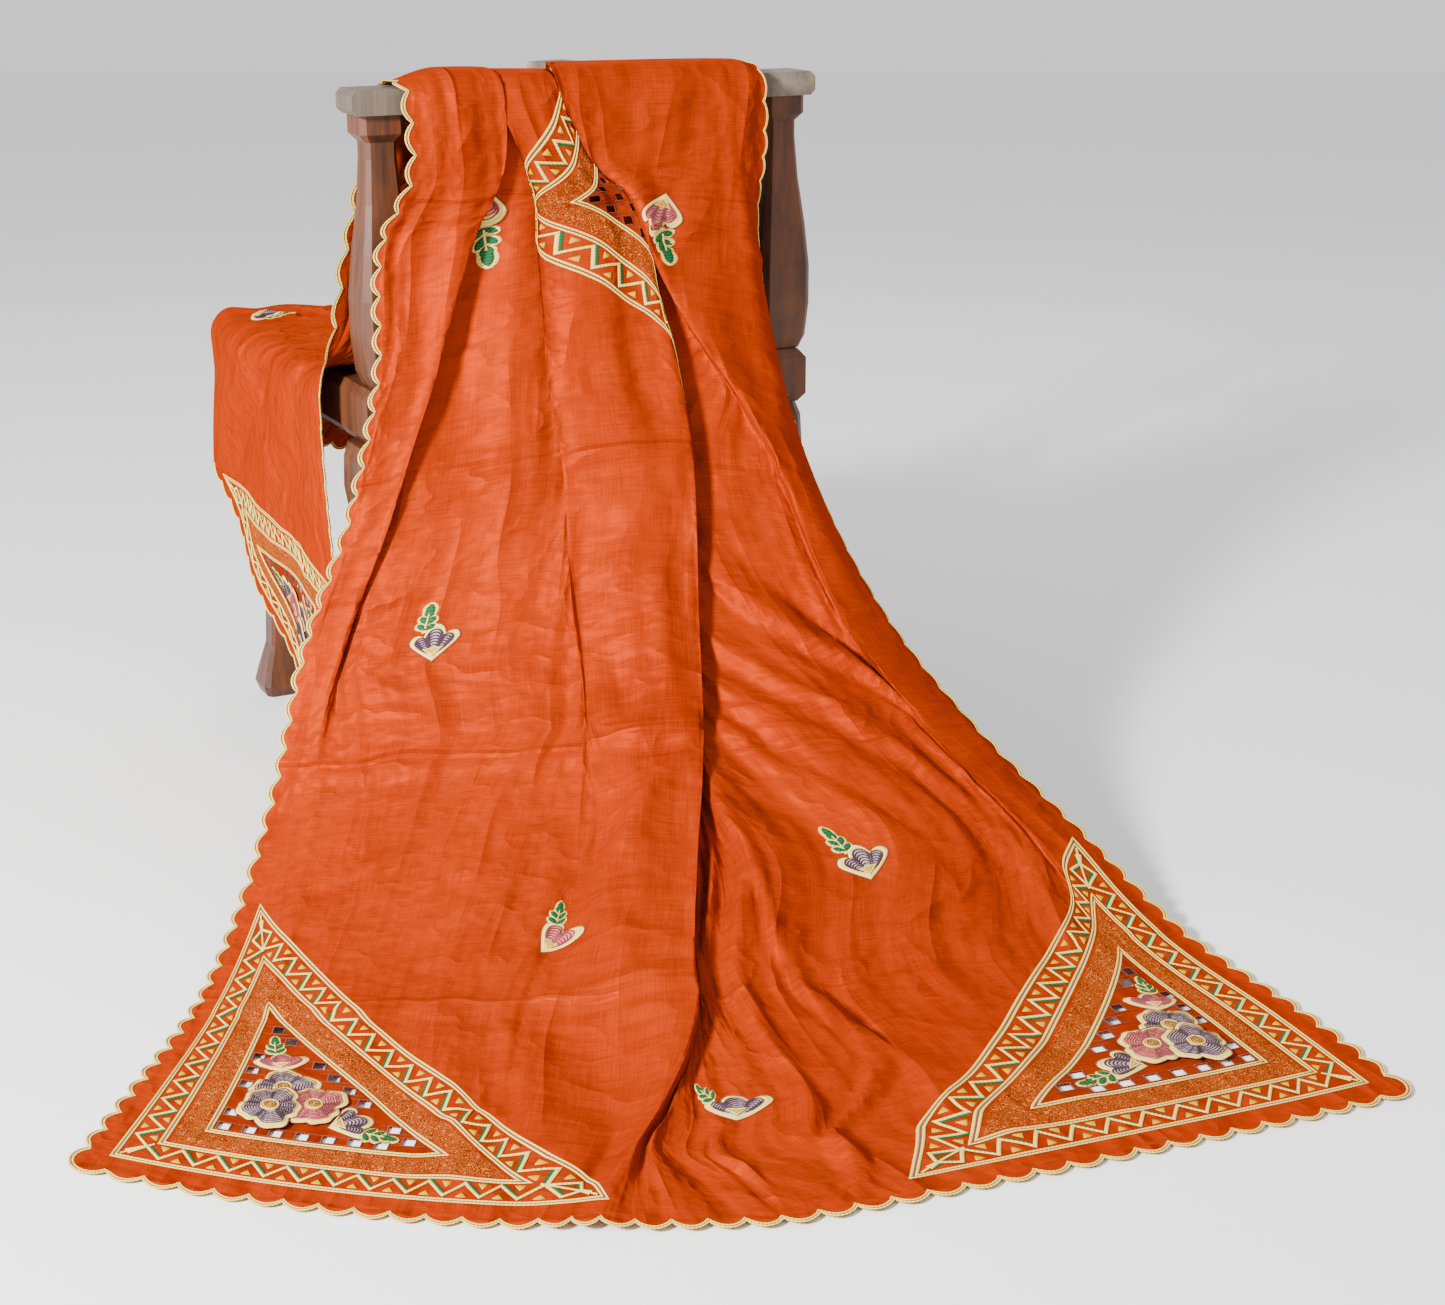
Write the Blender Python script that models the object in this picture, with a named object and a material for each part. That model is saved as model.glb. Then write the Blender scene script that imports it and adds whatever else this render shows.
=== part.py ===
"""Embroidered dupatta draped over the top rail and the seat of a plain wooden corner chair.

The cloth is one length of silk with a scalloped rim. Its flat pattern is laid out in scallops,
u across from the left long edge and v along from the front hem, and one function places each
point of the pattern in space. Lengths are in metres, with +Z up.
"""
import math

import bpy
import bmesh
import numpy as np
from mathutils import Vector
from mathutils.geometry import delaunay_2d_cdt

# The flat cloth, counted in scallops
SCALLOP = 0.0277
SCALLOPS_ACROSS = 39
SCALLOPS_ALONG = 80
RIM_HEIGHT = 0.30
CORNER_LOBE_CENTRE = 0.42
CORNER_LOBE_PARTS = 6
RIM_POINTS_PER_SCALLOP = 3
# The least distance from an end of the rim to its next point, as a share of their spacing
LEAST_RIM_STEP = 0.3
WALL = 0.0013
SEAM = 0.00015

# How the cloth lies on the rail: scallops from the rail's front edge to the front hem
FRONT_DROP_LEFT = 44.0
FRONT_DROP_SKEW = 1.9
FRONT_STATIONS = 45.0

# The chair, with its near rail from the left corner to the right corner
CORNER_LEFT = np.array((-0.334, 2.171))
RAIL_DIRECTION = math.radians(27.3)
RAIL_LENGTH = 0.476
RAIL_DEPTH = 0.046
RAIL_TOP = 0.709
RAIL_HEIGHT = 0.023
SIDE_RAIL_DROP = 0.014
SEAT_TOP = 0.4305
SEAT_RAIL_HEIGHT = 0.0555
SEAT_DEPTH = 0.44
SEAT_BACK_SLANT = 0.072
POST_IN = 0.030
SEAT_EDGE_RADIUS = 0.025
FLOOR_CLEARANCE = 0.0010

ALONG_RAIL = np.array((math.cos(RAIL_DIRECTION), math.sin(RAIL_DIRECTION)))
INTO_SEAT = np.array((-ALONG_RAIL[1], ALONG_RAIL[0]))


def chair_point(along, into, height):
    """A point in the chair's own directions: along the near rail, into the seat, up."""
    ground = CORNER_LEFT + along * ALONG_RAIL + into * INTO_SEAT
    return (ground[0], ground[1], height)


# Cross-sections of the plain drape: station, then left, middle and right points (x, y, z).
# A station is a scallop's length, counted from the rail's front edge down to the hem at 45.
FRONT_SECTIONS = (
    (5, (-0.313, 2.184, 0.577), (-0.068, 2.281, 0.596), (0.031, 2.330, 0.580)),
    (10, (-0.321, 2.157, 0.448), (-0.052, 2.235, 0.479), (0.049, 2.280, 0.449)),
    (15, (-0.345, 2.113, 0.328), (-0.037, 2.165, 0.362), (0.090, 2.206, 0.332)),
    (20, (-0.387, 2.073, 0.207), (-0.026, 2.075, 0.240), (0.152, 2.137, 0.226)),
    (25, (-0.409, 2.000, 0.098), (-0.023, 1.965, 0.152), (0.233, 2.064, 0.138)),
    (30, (-0.426, 1.888, 0.026), (-0.024, 1.843, 0.082), (0.328, 1.982, 0.062)),
    (35, (-0.436, 1.758, 0.002), (-0.026, 1.712, 0.030), (0.406, 1.880, 0.010)),
    (40, (-0.453, 1.630, 0.002), (0.010, 1.575, 0.003), (0.476, 1.750, 0.002)),
    (45, (-0.474, 1.505, 0.002), (0.040, 1.430, 0.002), (0.531, 1.614, 0.002)),
)
# The hem's bow away from a straight line in each half: station, left half, right half
HEM_BOW = ((0, 0.0, 0.0), (30, 0.0, 0.0), (35, 0.0, 0.010), (40, 0.0, 0.020), (45, 0.0, 0.028))
# Where the cloth crosses the rail, along the rail from its left end: left, middle, right
RAIL_CROSSINGS = (0.048, 0.285, 0.412)
# The cloth's round turns over the rail, and its height over the rail's top
RAIL_TURN_RADIUS = 0.018
RAIL_TURN_IN = 0.005
RAIL_LIFT = 0.0030
RAIL_TURN_PARTS = 4
# Where the straight stretch in front of the rail ends, in stations, and how far it leans out there
RAIL_FRONT_END = (2.7, 0.014)
# The far side in the chair's directions: station, then (along, into, height) for left, middle, right.
# What passes the seat's edges is bent down over them afterwards.
FAR_SECTIONS = (
    (-4.2, (0.036, 0.069, 0.650), (0.276, 0.064, 0.650), (0.413, 0.064, 0.650)),
    (-7, (0.010, 0.070, 0.555), (0.262, 0.068, 0.555), (0.410, 0.066, 0.555)),
    (-10, (-0.020, 0.070, 0.456), (0.240, 0.090, 0.456), (0.400, 0.084, 0.456)),
    (-12.5, (-0.085, 0.072, 0.4385), (0.190, 0.160, 0.4385), (0.385, 0.140, 0.4385)),
    (-17, (-0.185, 0.060, 0.4350), (0.135, 0.255, 0.4350), (0.360, 0.250, 0.4350)),
    (-23, (-0.265, 0.035, 0.4345), (0.065, 0.345, 0.4345), (0.330, 0.380, 0.4345)),
    (-29, (-0.335, 0.020, 0.4345), (-0.030, 0.430, 0.4345), (0.300, 0.500, 0.4345)),
    (-35, (-0.405, 0.010, 0.4345), (-0.120, 0.510, 0.4345), (0.280, 0.610, 0.4345)),
)
# Gathers of the part that hangs off the seat
DRAPE_WAVES = 6
DRAPE_WAVE_HEIGHT = 0.007
DRAPE_WAVES_START = -12.0
DRAPE_WAVES_FULL = -26.0

# Fold lines, from the left long edge to the right one, each with a row for each station where it
# changes: station, u in scallops, place across (0 left edge, 1 middle, 2 right edge), and
# millimetres in front of the plain drape. At a pleat the two lines lie a few millimetres apart:
# the cloth between their two u values is folded away behind the pleat's edge.
FOLDS = (
    ("left edge", (
        (-14, 0.0, 0.0, 0), (0, 0.0, 0.0, 1), (5, 0.0, 0.0, 3), (15, 0.0, 0.0, 5), (28, 0.0, 0.0, 0))),
    ("left ridge", (
        (-14, 1.3, 0.067, 0), (-4, 1.8, 0.130, 8), (0, 1.9, 0.150, 13), (5, 1.2, 0.080, 6),
        (10, 0.9, 0.040, 7), (20, 0.4, 0.015, 5), (28, 0.3, 0.015, 0))),
    ("left flap edge", (
        (-14, 3.2, 0.164, 0), (-11, 3.3, 0.170, 0), (-8, 3.6, 0.200, 6), (-4, 4.0, 0.260, 8),
        (0, 4.2, 0.283, 10), (5, 3.3, 0.233, 10), (10, 2.4, 0.113, 10), (15, 1.7, 0.065, 9),
        (20, 1.2, 0.050, 5), (25, 1.2, 0.055, 1), (30, 1.2, 0.060, 0))),
    ("left flap far side", (
        (-14, 4.2, 0.215, 0), (-11, 4.3, 0.220, 0), (-8, 4.6, 0.218, 1), (-4, 5.1, 0.278, 1),
        (0, 5.4, 0.301, 2), (5, 4.5, 0.251, 1), (10, 3.7, 0.131, -1), (15, 2.9, 0.083, -1),
        (20, 2.3, 0.075, -1), (25, 2.3, 0.105, 0), (30, 2.3, 0.120, 0))),
    ("second flap near side", (
        (-14, 9.6, 0.492, 0), (-11, 9.7, 0.497, 0), (-8, 8.0, 0.503, 2), (-4, 6.8, 0.410, 1),
        (0, 6.0, 0.331, 2), (2, 6.4, 0.411, 2), (5, 6.8, 0.511, 1), (10, 7.6, 0.521, 0),
        (15, 8.6, 0.591, -1), (19, 10.0, 0.641, -1), (23, 10.9, 0.700, 1), (28, 10.9, 0.700, 0),
        (45, 10.9, 0.555, 0))),
    ("second flap edge", (
        (-14, 11.2, 0.574, 0), (-11, 11.2, 0.574, 0), (-8, 11.1, 0.521, 8), (-4, 11.3, 0.428, 9),
        (0, 11.6, 0.349, 9), (2, 11.6, 0.429, 11), (5, 11.6, 0.529, 12), (10, 11.6, 0.539, 11),
        (15, 11.7, 0.609, 10), (19, 12.0, 0.659, 9), (23, 12.2, 0.720, 7), (28, 12.2, 0.770, 0),
        (45, 12.2, 0.623, 0))),
    ("second flap face", (
        (-14, 13.4, 0.687, 0), (-11, 13.4, 0.690, 1), (-7, 13.3, 0.640, 4), (-4, 13.4, 0.560, 6),
        (0, 13.4, 0.500, 8), (2, 13.4, 0.580, 10), (5, 13.4, 0.720, 13), (10, 13.4, 0.740, 14),
        (15, 13.4, 0.810, 14), (19, 13.6, 0.830, 12), (25, 13.6, 0.870, 8), (30, 13.6, 0.885, 5),
        (36, 13.5, 0.860, 6), (45, 13.5, 0.690, 3))),
    ("middle pleat edge", (
        (-14, 15.0, 0.769, 0), (-11, 15.0, 0.790, 1), (-7, 15.0, 0.800, 4), (-4, 14.6, 0.690, 5),
        (0, 14.0, 0.555, 7), (2, 14.2, 0.640, 9), (5, 14.7, 0.850, 13), (6.8, 15.3, 0.935, 12),
        (8, 15.4, 0.945, 12), (10, 15.4, 0.953, 13), (15, 15.3, 1.003, 12), (20, 15.2, 0.982, 11),
        (25, 15.1, 0.992, 11), (30, 15.0, 0.982, 11), (35, 15.0, 0.992, 13), (40, 15.0, 0.860, 14),
        (42, 15.0, 0.800, 12), (45, 15.0, 0.750, 5))),
    ("middle pleat far side", (
        (-14, 16.4, 0.841, 0), (-11, 17.0, 0.900, 1), (-7, 17.0, 0.960, 2), (-4, 15.7, 0.780, 4),
        (0, 14.6, 0.580, 5), (2, 14.8, 0.670, 7), (5, 15.3, 0.880, 12), (6.8, 16.2, 0.945, 8),
        (8, 27.4, 0.963, -4), (10, 29.4, 0.971, -8), (15, 31.6, 1.021, -10), (20, 30.2, 1.000, -10),
        (25, 25.8, 1.010, -8), (30, 21.9, 1.002, -4), (35, 20.8, 1.014, 1), (40, 16.8, 0.885, 3),
        (42, 16.3, 0.828, 3), (45, 16.2, 0.810, 2))),
    ("right pleat near side", (
        (-14, 25.0, 1.282, 0), (-12, 25.0, 1.282, 0), (-10, 22.0, 1.240, 1), (-7, 19.5, 1.170, 2),
        (-4, 16.6, 0.840, 3), (0, 15.2, 0.592, 4), (2, 15.5, 0.690, 5), (5, 16.0, 0.900, 11),
        (6.8, 17.0, 0.952, 7), (8, 28.2, 1.000, -3), (10, 30.4, 1.130, -4), (15, 35.2, 1.533, -4),
        (20, 35.4, 1.652, -3), (25, 35.4, 1.775, -1), (30, 35.4, 1.840, 1), (35, 35.4, 1.820, 0),
        (45, 35.4, 1.820, 0))),
    ("right flap edge", (
        (-14, 27.2, 1.395, 0), (-12, 27.2, 1.395, 0), (-10, 28.0, 1.340, 6), (-7, 29.2, 1.190, 9),
        (-4, 30.5, 0.862, 12), (0, 31.3, 0.612, 13), (2, 32.2, 0.712, 16), (5, 34.0, 0.922, 20),
        (6.8, 34.9, 0.974, 20), (8, 35.3, 1.020, 18), (10, 36.0, 1.150, 13), (15, 37.1, 1.553, 8),
        (20, 37.4, 1.672, 7), (25, 37.2, 1.800, 6), (30, 36.9, 1.870, 5), (35, 36.8, 1.880, 1),
        (45, 36.8, 1.890, 0))),
    ("right flap shoulder", (
        (-14, 38.0, 1.949, 0), (-8, 38.0, 1.850, 5), (0, 38.1, 1.820, 9), (5, 38.2, 1.850, 8),
        (10, 38.2, 1.830, 8), (15, 38.4, 1.900, 6), (20, 38.5, 1.935, 5), (25, 38.5, 1.965, 4),
        (30, 38.4, 1.965, 4), (33, 38.3, 1.955, 3), (37, 38.2, 1.958, 0), (45, 38.2, 1.960, 0))),
    ("right edge", (
        (-14, 39.0, 2.0, 0), (-4, 39.0, 2.0, 4), (0, 39.0, 2.0, 5), (5, 39.0, 2.0, 4),
        (15, 39.0, 2.0, 2), (30, 39.0, 2.0, 0))),
)

# A stretch whose low end lies past this station reaches the far hem
SEAT_STATION = -40.0
# Stretches of the cloth: name, low station, high station. Each seam follows a station.
STRETCHES = (
    ("cloth_front_spread", 31.0, 99.0),
    ("cloth_front_fall", 2.3, 31.0),
    ("cloth_rail_saddle", -3.8, 2.3),
    ("cloth_far_fall", -11.8, -3.8),
    ("cloth_seat_drape", -99.0, -11.8),
)
ROW_STATIONS = (
    43.6, 42, 40.4, 39, 37, 35, 33, 31, 29, 27, 25, 23, 21, 19, 17, 15, 13, 11.4, 10, 8.6, 7.3, 6, 4.6, 3.3,
    2.3, 1.6, 1.0, 0.5, 0.15, -0.15, -0.5, -1.1, -1.8, -2.15, -2.5, -3.0, -3.8, -5, -6.5, -8, -9.5, -10.6, -11.8,
    -13, -15, -17.4, -20, -22.6, -25.2, -27.8, -30.2, -32,
)
ROW_FROM_SEAM = 0.3
COLUMN_SPACING = 2.6
LEAST_COLUMN_GAP = 0.125
# Fold lines with folded-away cloth before them, where no column stands
HIDDEN_BEFORE = ("left flap far side", "second flap edge", "middle pleat far side", "right flap edge")
# A cut cell is made only where the cloth lies open: least part of its flat width
LEAST_OPEN = 0.6
# The bend over the seat's edge is drawn this closely, in metres
BEND_CLOSENESS = 0.002
BEND_ROUNDS = 2
RIM_MARGIN = 0.62

# Embroidered corners and the middle diamond, in scallops
BAND_OUTER = 0.7
BAND_WIDTH = 2.3
CORNER_LEG = 14.5
DIAMOND_HALF = 9.9
CUT_PITCH = 0.78
CUT_HALF = 0.165
CUT_MARGIN = 0.28
# Cells in the row along a corner's long side, and the least distance between two cells' middles
LONG_SIDE_CELLS = 10
CUT_SPACING = 0.62
# Rows of cells along each side of the diamond
DIAMOND_ROWS = 2
# How far the pattern's points stay from a cut cell, and a cut cell from a seam, in scallops
CELL_CLEARANCE = 0.16
CELL_FROM_SEAM = 0.4
# Places tested along a line between two points, to keep it clear of the cut cells
LINE_TESTS = 10
# The bouquet's clear places in a corner, from the cloth's corner: along each leg, and radius
CORNER_BOUQUET = (
    (4.30, 4.55, 0.90), (5.45, 5.00, 0.85), (4.40, 5.80, 0.85), (4.05, 7.15, 0.60), (6.80, 4.40, 0.65),
    (3.60, 8.00, 0.28), (7.75, 3.75, 0.28),
)

SILK = ("silk", (0.60, 0.105, 0.022, 1.0), 0.42)
RAIL_WOOD = ("rail wood", (0.20, 0.165, 0.135, 1.0), 0.75)
POST_WOOD = ("post wood", (0.20, 0.085, 0.045, 1.0), 0.60)


def material(finish):
    """The plain material of a finish: name, colour and roughness."""
    name, colour, roughness = finish
    found = bpy.data.materials.get(name)
    if found:
        return found
    made = bpy.data.materials.new(name)
    made.use_nodes = True
    shader = made.node_tree.nodes["Principled BSDF"]
    shader.inputs["Base Color"].default_value = colour
    shader.inputs["Roughness"].default_value = roughness
    shader.inputs["Metallic"].default_value = 0.0
    return made


def cubic(x, x0, x1, y0, y1, m0, m1):
    """The cubic from (x0, y0) with slope m0 to (x1, y1) with slope m1."""
    step = x1 - x0
    t = (x - x0) / step
    t2 = t * t
    t3 = t2 * t
    ends = (2 * t3 - 3 * t2 + 1) * y0 + (3 * t2 - 2 * t3) * y1
    return ends + ((t3 - 2 * t2 + t) * m0 + (t3 - t2) * m1) * step


def smooth_curve(knots, values, x):
    """A smooth curve through all values, one column each, at the places x."""
    knots = np.asarray(knots, float)
    values = np.asarray(values, float)
    steps = np.diff(knots)[:, None]
    rises = np.diff(values, axis=0) / steps
    slopes = np.empty_like(values)
    slopes[0] = rises[0]
    slopes[-1] = rises[-1]
    slopes[1:-1] = (rises[:-1] * steps[1:] + rises[1:] * steps[:-1]) / (steps[1:] + steps[:-1])
    x = np.clip(x, knots[0], knots[-1])
    i = np.clip(np.searchsorted(knots, x, side="right") - 1, 0, len(knots) - 2)
    x0 = knots[i][:, None]
    x1 = knots[i + 1][:, None]
    return cubic(x[:, None], x0, x1, values[i], values[i + 1], slopes[i], slopes[i + 1])


def steady_curve(knots, values, x):
    """A curve through all values that never overshoots, for knots that differ from point to point.

    knots and values have a row for each knot and a column for each point.
    """
    steps = np.diff(knots, axis=0)
    rises = np.diff(values, axis=0) / steps
    before = rises[:-1]
    after = rises[1:]
    same_way = before * after > 0
    total = before + after
    safe = np.where(same_way, total, 1.0)
    slopes = np.empty_like(values)
    slopes[0] = rises[0]
    slopes[-1] = rises[-1]
    slopes[1:-1] = np.where(same_way, 2 * before * after / safe, 0.0)
    i = np.clip((x[None, :] >= knots[1:-1]).sum(axis=0), 0, len(knots) - 2)
    n = np.arange(len(x))
    return cubic(x, knots[i, n], knots[i + 1, n], values[i, n], values[i + 1, n], slopes[i, n], slopes[i + 1, n])


def rail_path():
    """The path over the rail: station, distance in front of the rail's face, height over its top."""
    turn_length = RAIL_TURN_RADIUS * math.pi / 2 / SCALLOP
    top_length = (RAIL_DEPTH - 2 * RAIL_TURN_IN) / SCALLOP
    centre_up = RAIL_LIFT - RAIL_TURN_RADIUS
    front = []
    for k in range(RAIL_TURN_PARTS + 1):
        angle = math.pi / 2 * k / RAIL_TURN_PARTS
        out = RAIL_TURN_RADIUS * math.cos(angle) - RAIL_TURN_IN
        up = centre_up + RAIL_TURN_RADIUS * math.sin(angle)
        front.append((turn_length * (0.5 - k / RAIL_TURN_PARTS), out, up))
    back_start = -turn_length - top_length
    back = [(back_start - station, -RAIL_DEPTH - out, up) for station, out, up in front[::-1]]
    end_station, end_out = RAIL_FRONT_END
    end_up = centre_up - (end_station - front[0][0]) * SCALLOP
    return [(end_station, end_out, end_up)] + front + back


def section_rows():
    """All cross-sections of the plain drape, by rising station: stations, and nine coordinates each."""
    rows = []
    for station, *points in FAR_SECTIONS:
        rows.append((station, [chair_point(*point) for point in points]))
    for station, out, up in rail_path():
        points = [chair_point(along, -out, RAIL_TOP + up) for along in RAIL_CROSSINGS]
        rows.append((station, points))
    for station, *points in FRONT_SECTIONS:
        rows.append((station, points))
    rows.sort(key=lambda row: row[0])
    stations = [row[0] for row in rows]
    values = [np.ravel(row[1]) for row in rows]
    return stations, np.array(values)


SECTION_STATIONS, SECTION_VALUES = section_rows()


def bend_over_seat(points, station):
    """Points of the far side, with what passes the seat's left and far edges hanging down."""
    ground = points[:, :2] - CORNER_LEFT
    along = ground @ ALONG_RAIL
    into = ground @ INTO_SEAT
    past_left = np.maximum(0.0, -along)
    past_far = np.maximum(0.0, into + SEAT_BACK_SLANT * along - SEAT_DEPTH)
    past = np.hypot(past_left, past_far)
    angle = np.minimum(past / SEAT_EDGE_RADIUS, math.pi / 2)
    out = SEAT_EDGE_RADIUS * np.sin(angle)
    down = SEAT_EDGE_RADIUS * (1 - np.cos(angle)) + np.maximum(0.0, past - SEAT_EDGE_RADIUS * math.pi / 2)
    share = out / np.maximum(past, 1e-9)
    along = along + past_left - past_left * share
    into = into - past_far + past_far * share
    bent = np.empty_like(points)
    bent[:, :2] = CORNER_LEFT + along[:, None] * ALONG_RAIL + into[:, None] * INTO_SEAT
    bent[:, 2] = points[:, 2] - down
    far = ((station < FAR_SECTIONS[0][0]) & (past > 0))[:, None]
    return np.where(far, bent, points)


def plain_drape(across, station):
    """The drape without folds, at a place across and a station."""
    values = smooth_curve(SECTION_STATIONS, SECTION_VALUES, station)
    left = values[:, 0:3]
    middle = values[:, 3:6]
    right = values[:, 6:9]
    a = across[:, None]
    points = left * (a - 1) * (a - 2) / 2 - middle * a * (a - 2) + right * a * (a - 1) / 2
    bow = np.array(HEM_BOW)
    bows = smooth_curve(bow[:, 0], bow[:, 1:], np.clip(station, bow[0, 0], bow[-1, 0]))
    left_half = np.clip(across, 0, 1)
    right_half = np.clip(across - 1, 0, 1)
    points[:, 1] += bows[:, 0] * np.sin(math.pi * left_half) + bows[:, 1] * np.sin(math.pi * right_half)
    return bend_over_seat(points, station)


def out_of_drape(across, station):
    """The plain drape's unit normal, pointing to its outer side."""
    step_across = 0.01
    step_station = 0.06
    over = plain_drape(across + step_across, station) - plain_drape(across - step_across, station)
    up = plain_drape(across, station - step_station) - plain_drape(across, station + step_station)
    normal = np.cross(over, up)
    return normal / np.linalg.norm(normal, axis=1)[:, None]


def fold_knots(station):
    """The folds at each point's station: u, place across and distance out, a row for each fold line."""
    knots = []
    for name, rows in FOLDS:
        table = np.array(rows, float)
        at = np.clip(station, table[0, 0], table[-1, 0])
        columns = np.repeat(table[:, :1], len(at), axis=1)
        knots.append([steady_curve(columns, np.repeat(table[:, k:k + 1], len(at), axis=1), at) for k in (1, 2, 3)])
    knots = np.array(knots)
    return knots[:, 0], knots[:, 1], knots[:, 2] / 1000


def front_drop(u):
    """Scallops from the rail's front edge to the front hem, along the cloth at u."""
    return FRONT_DROP_LEFT + FRONT_DROP_SKEW * u / SCALLOPS_ACROSS


def station_of(u, v):
    """The drape's station of a point of the flat pattern."""
    past_rail = front_drop(u) - v
    return np.where(past_rail > 0, past_rail * FRONT_STATIONS / front_drop(u), past_rail)


def v_at(u, station):
    """The pattern's v of a station at u."""
    scale = np.where(station > 0, front_drop(u) / FRONT_STATIONS, 1.0)
    return front_drop(u) - station * scale


def place_on_drape(u, v):
    """Where points of the flat pattern lie on the plain drape: station, across, out, half width."""
    inside_u = np.clip(u, 0, SCALLOPS_ACROSS)
    station = station_of(inside_u, v)
    ends = plain_drape(np.zeros_like(u), station) - plain_drape(np.full_like(u, 2.0), station)
    half_width = np.linalg.norm(ends, axis=1) / 2
    knots_u, knots_across, knots_out = fold_knots(station)
    across = steady_curve(knots_u, knots_across, inside_u)
    out = steady_curve(knots_u, knots_out, inside_u)
    across = across + (u - inside_u) * SCALLOP / half_width
    waves = np.clip((DRAPE_WAVES_START - station) / (DRAPE_WAVES_START - DRAPE_WAVES_FULL), 0, 1)
    ripple = (1 - np.cos(2 * math.pi * DRAPE_WAVES * inside_u / SCALLOPS_ACROSS)) / 2
    out = out + DRAPE_WAVE_HEIGHT * waves * ripple
    return station, across, out, half_width


def open_chart(u, v):
    """Points of the flat pattern in a plane, in scallops, where folded-away cloth takes no room."""
    station, across, _, half_width = place_on_drape(np.asarray(u, float), np.asarray(v, float))
    return np.stack(((across - 1) * half_width / SCALLOP, -station), axis=1)


def place(u, v):
    """Where points of the flat pattern lie in space."""
    station, across, out, _ = place_on_drape(np.asarray(u, float), np.asarray(v, float))
    # Past the last sections the cloth goes straight on, so that the hem's scallops keep their height
    low, high = SECTION_STATIONS[0], SECTION_STATIONS[-1]
    held = np.clip(station, low, high)
    step = 0.2
    inward = np.where(station > high, held - step, held + step)
    edge = plain_drape(across, held)
    onward = (edge - plain_drape(across, inward)) / step
    beyond = np.abs(station - held)[:, None]
    points = edge + onward * beyond + out_of_drape(across, np.clip(station, low + 0.1, high - 0.1)) * out[:, None]
    points[:, 2] = np.maximum(points[:, 2], FLOOR_CLEARANCE)
    return points


def surface_normals(u, v):
    """Unit normals of the folded cloth."""
    step = 0.03
    over = place(u + step, v) - place(u - step, v)
    up = place(u, v + step) - place(u, v - step)
    normal = np.cross(over, up)
    return normal / np.linalg.norm(normal, axis=1)[:, None]


def rim_bulge(position):
    """How far the scalloped rim stands out at a position along a side, in scallops."""
    return RIM_HEIGHT * abs(math.sin(math.pi * position)) ** 0.8


def rim_places(low, high):
    """Positions along a side between low and high, three to a scallop, with both ends."""
    first = math.ceil(low * RIM_POINTS_PER_SCALLOP + LEAST_RIM_STEP)
    last = math.floor(high * RIM_POINTS_PER_SCALLOP - LEAST_RIM_STEP)
    inner = [k / RIM_POINTS_PER_SCALLOP for k in range(first, last + 1)]
    return [low] + inner + [high]


def corner_lobe():
    """A corner lobe round the cloth's origin, from the cusp on the u side to the one on the v side."""
    centre = CORNER_LOBE_CENTRE
    radius = math.hypot(1 - centre, centre)
    start = math.atan2(-centre, 1 - centre)
    sweep = 3 * math.pi / 2 + 2 * start
    points = []
    for k in range(1, CORNER_LOBE_PARTS):
        angle = start - sweep * k / CORNER_LOBE_PARTS
        points.append((centre + radius * math.cos(angle), centre + radius * math.sin(angle)))
    return points


def hem_points():
    """The front hem from its left cusp to its right cusp, with both corner lobes, left to right."""
    lobe = corner_lobe()
    left = list(reversed(lobe))
    middle = [(position, -rim_bulge(position)) for position in rim_places(1, SCALLOPS_ACROSS - 1)]
    right = [(SCALLOPS_ACROSS - x, y) for x, y in lobe]
    return left + middle + right


def row_columns(station):
    """The pattern's columns at a station: the folds' own lines, and plain ones between them."""
    at = np.array([float(station)])
    lines = [(fold[0], float(u)) for fold, u in zip(FOLDS, fold_knots(at)[0][:, 0])]
    columns = [lines[0]]
    for name, line in lines[1:]:
        start = columns[-1][1]
        if name not in HIDDEN_BEFORE:
            parts = max(1, math.ceil((line - start) / COLUMN_SPACING))
            columns += [("between", start + (line - start) * k / parts) for k in range(1, parts)]
        columns.append((name, line))
    # Columns that lie too close together are left out
    u = np.array([column[1] for column in columns])
    x = open_chart(u, v_at(u, np.full(len(u), float(station))))[:, 0]
    kept = [0]
    for k in range(1, len(columns) - 1):
        if x[k] - x[kept[-1]] > LEAST_COLUMN_GAP:
            kept.append(k)
    if x[-1] - x[kept[-1]] < LEAST_COLUMN_GAP:
        kept.pop()
    return [columns[k] for k in kept] + [columns[-1]]


def cut_corner_cells():
    """Centres of a corner's cut cells, from the cloth's corner along both legs."""
    near = BAND_OUTER + BAND_WIDTH + CUT_MARGIN
    limit = 2 * BAND_OUTER + CORNER_LEG - BAND_WIDTH * math.sqrt(2) - CUT_MARGIN * math.sqrt(2)
    shares = [(k + 0.5) / LONG_SIDE_CELLS for k in range(LONG_SIDE_CELLS)]
    long_side = [near + (limit - 2 * near) * share for share in shares]
    places = [(x, limit - x) for x in long_side]
    for k in range(int((limit - 2 * near) / CUT_PITCH) + 1):
        places += [(near + k * CUT_PITCH, near), (near, near + k * CUT_PITCH)]
    cells = []
    for x, y in places:
        clear = all(math.hypot(x - cx, y - cy) > r + CUT_HALF for cx, cy, r in CORNER_BOUQUET)
        apart = all(math.hypot(x - cx, y - cy) > CUT_SPACING for cx, cy in cells)
        if clear and apart:
            cells.append((x, y))
    return cells


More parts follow.
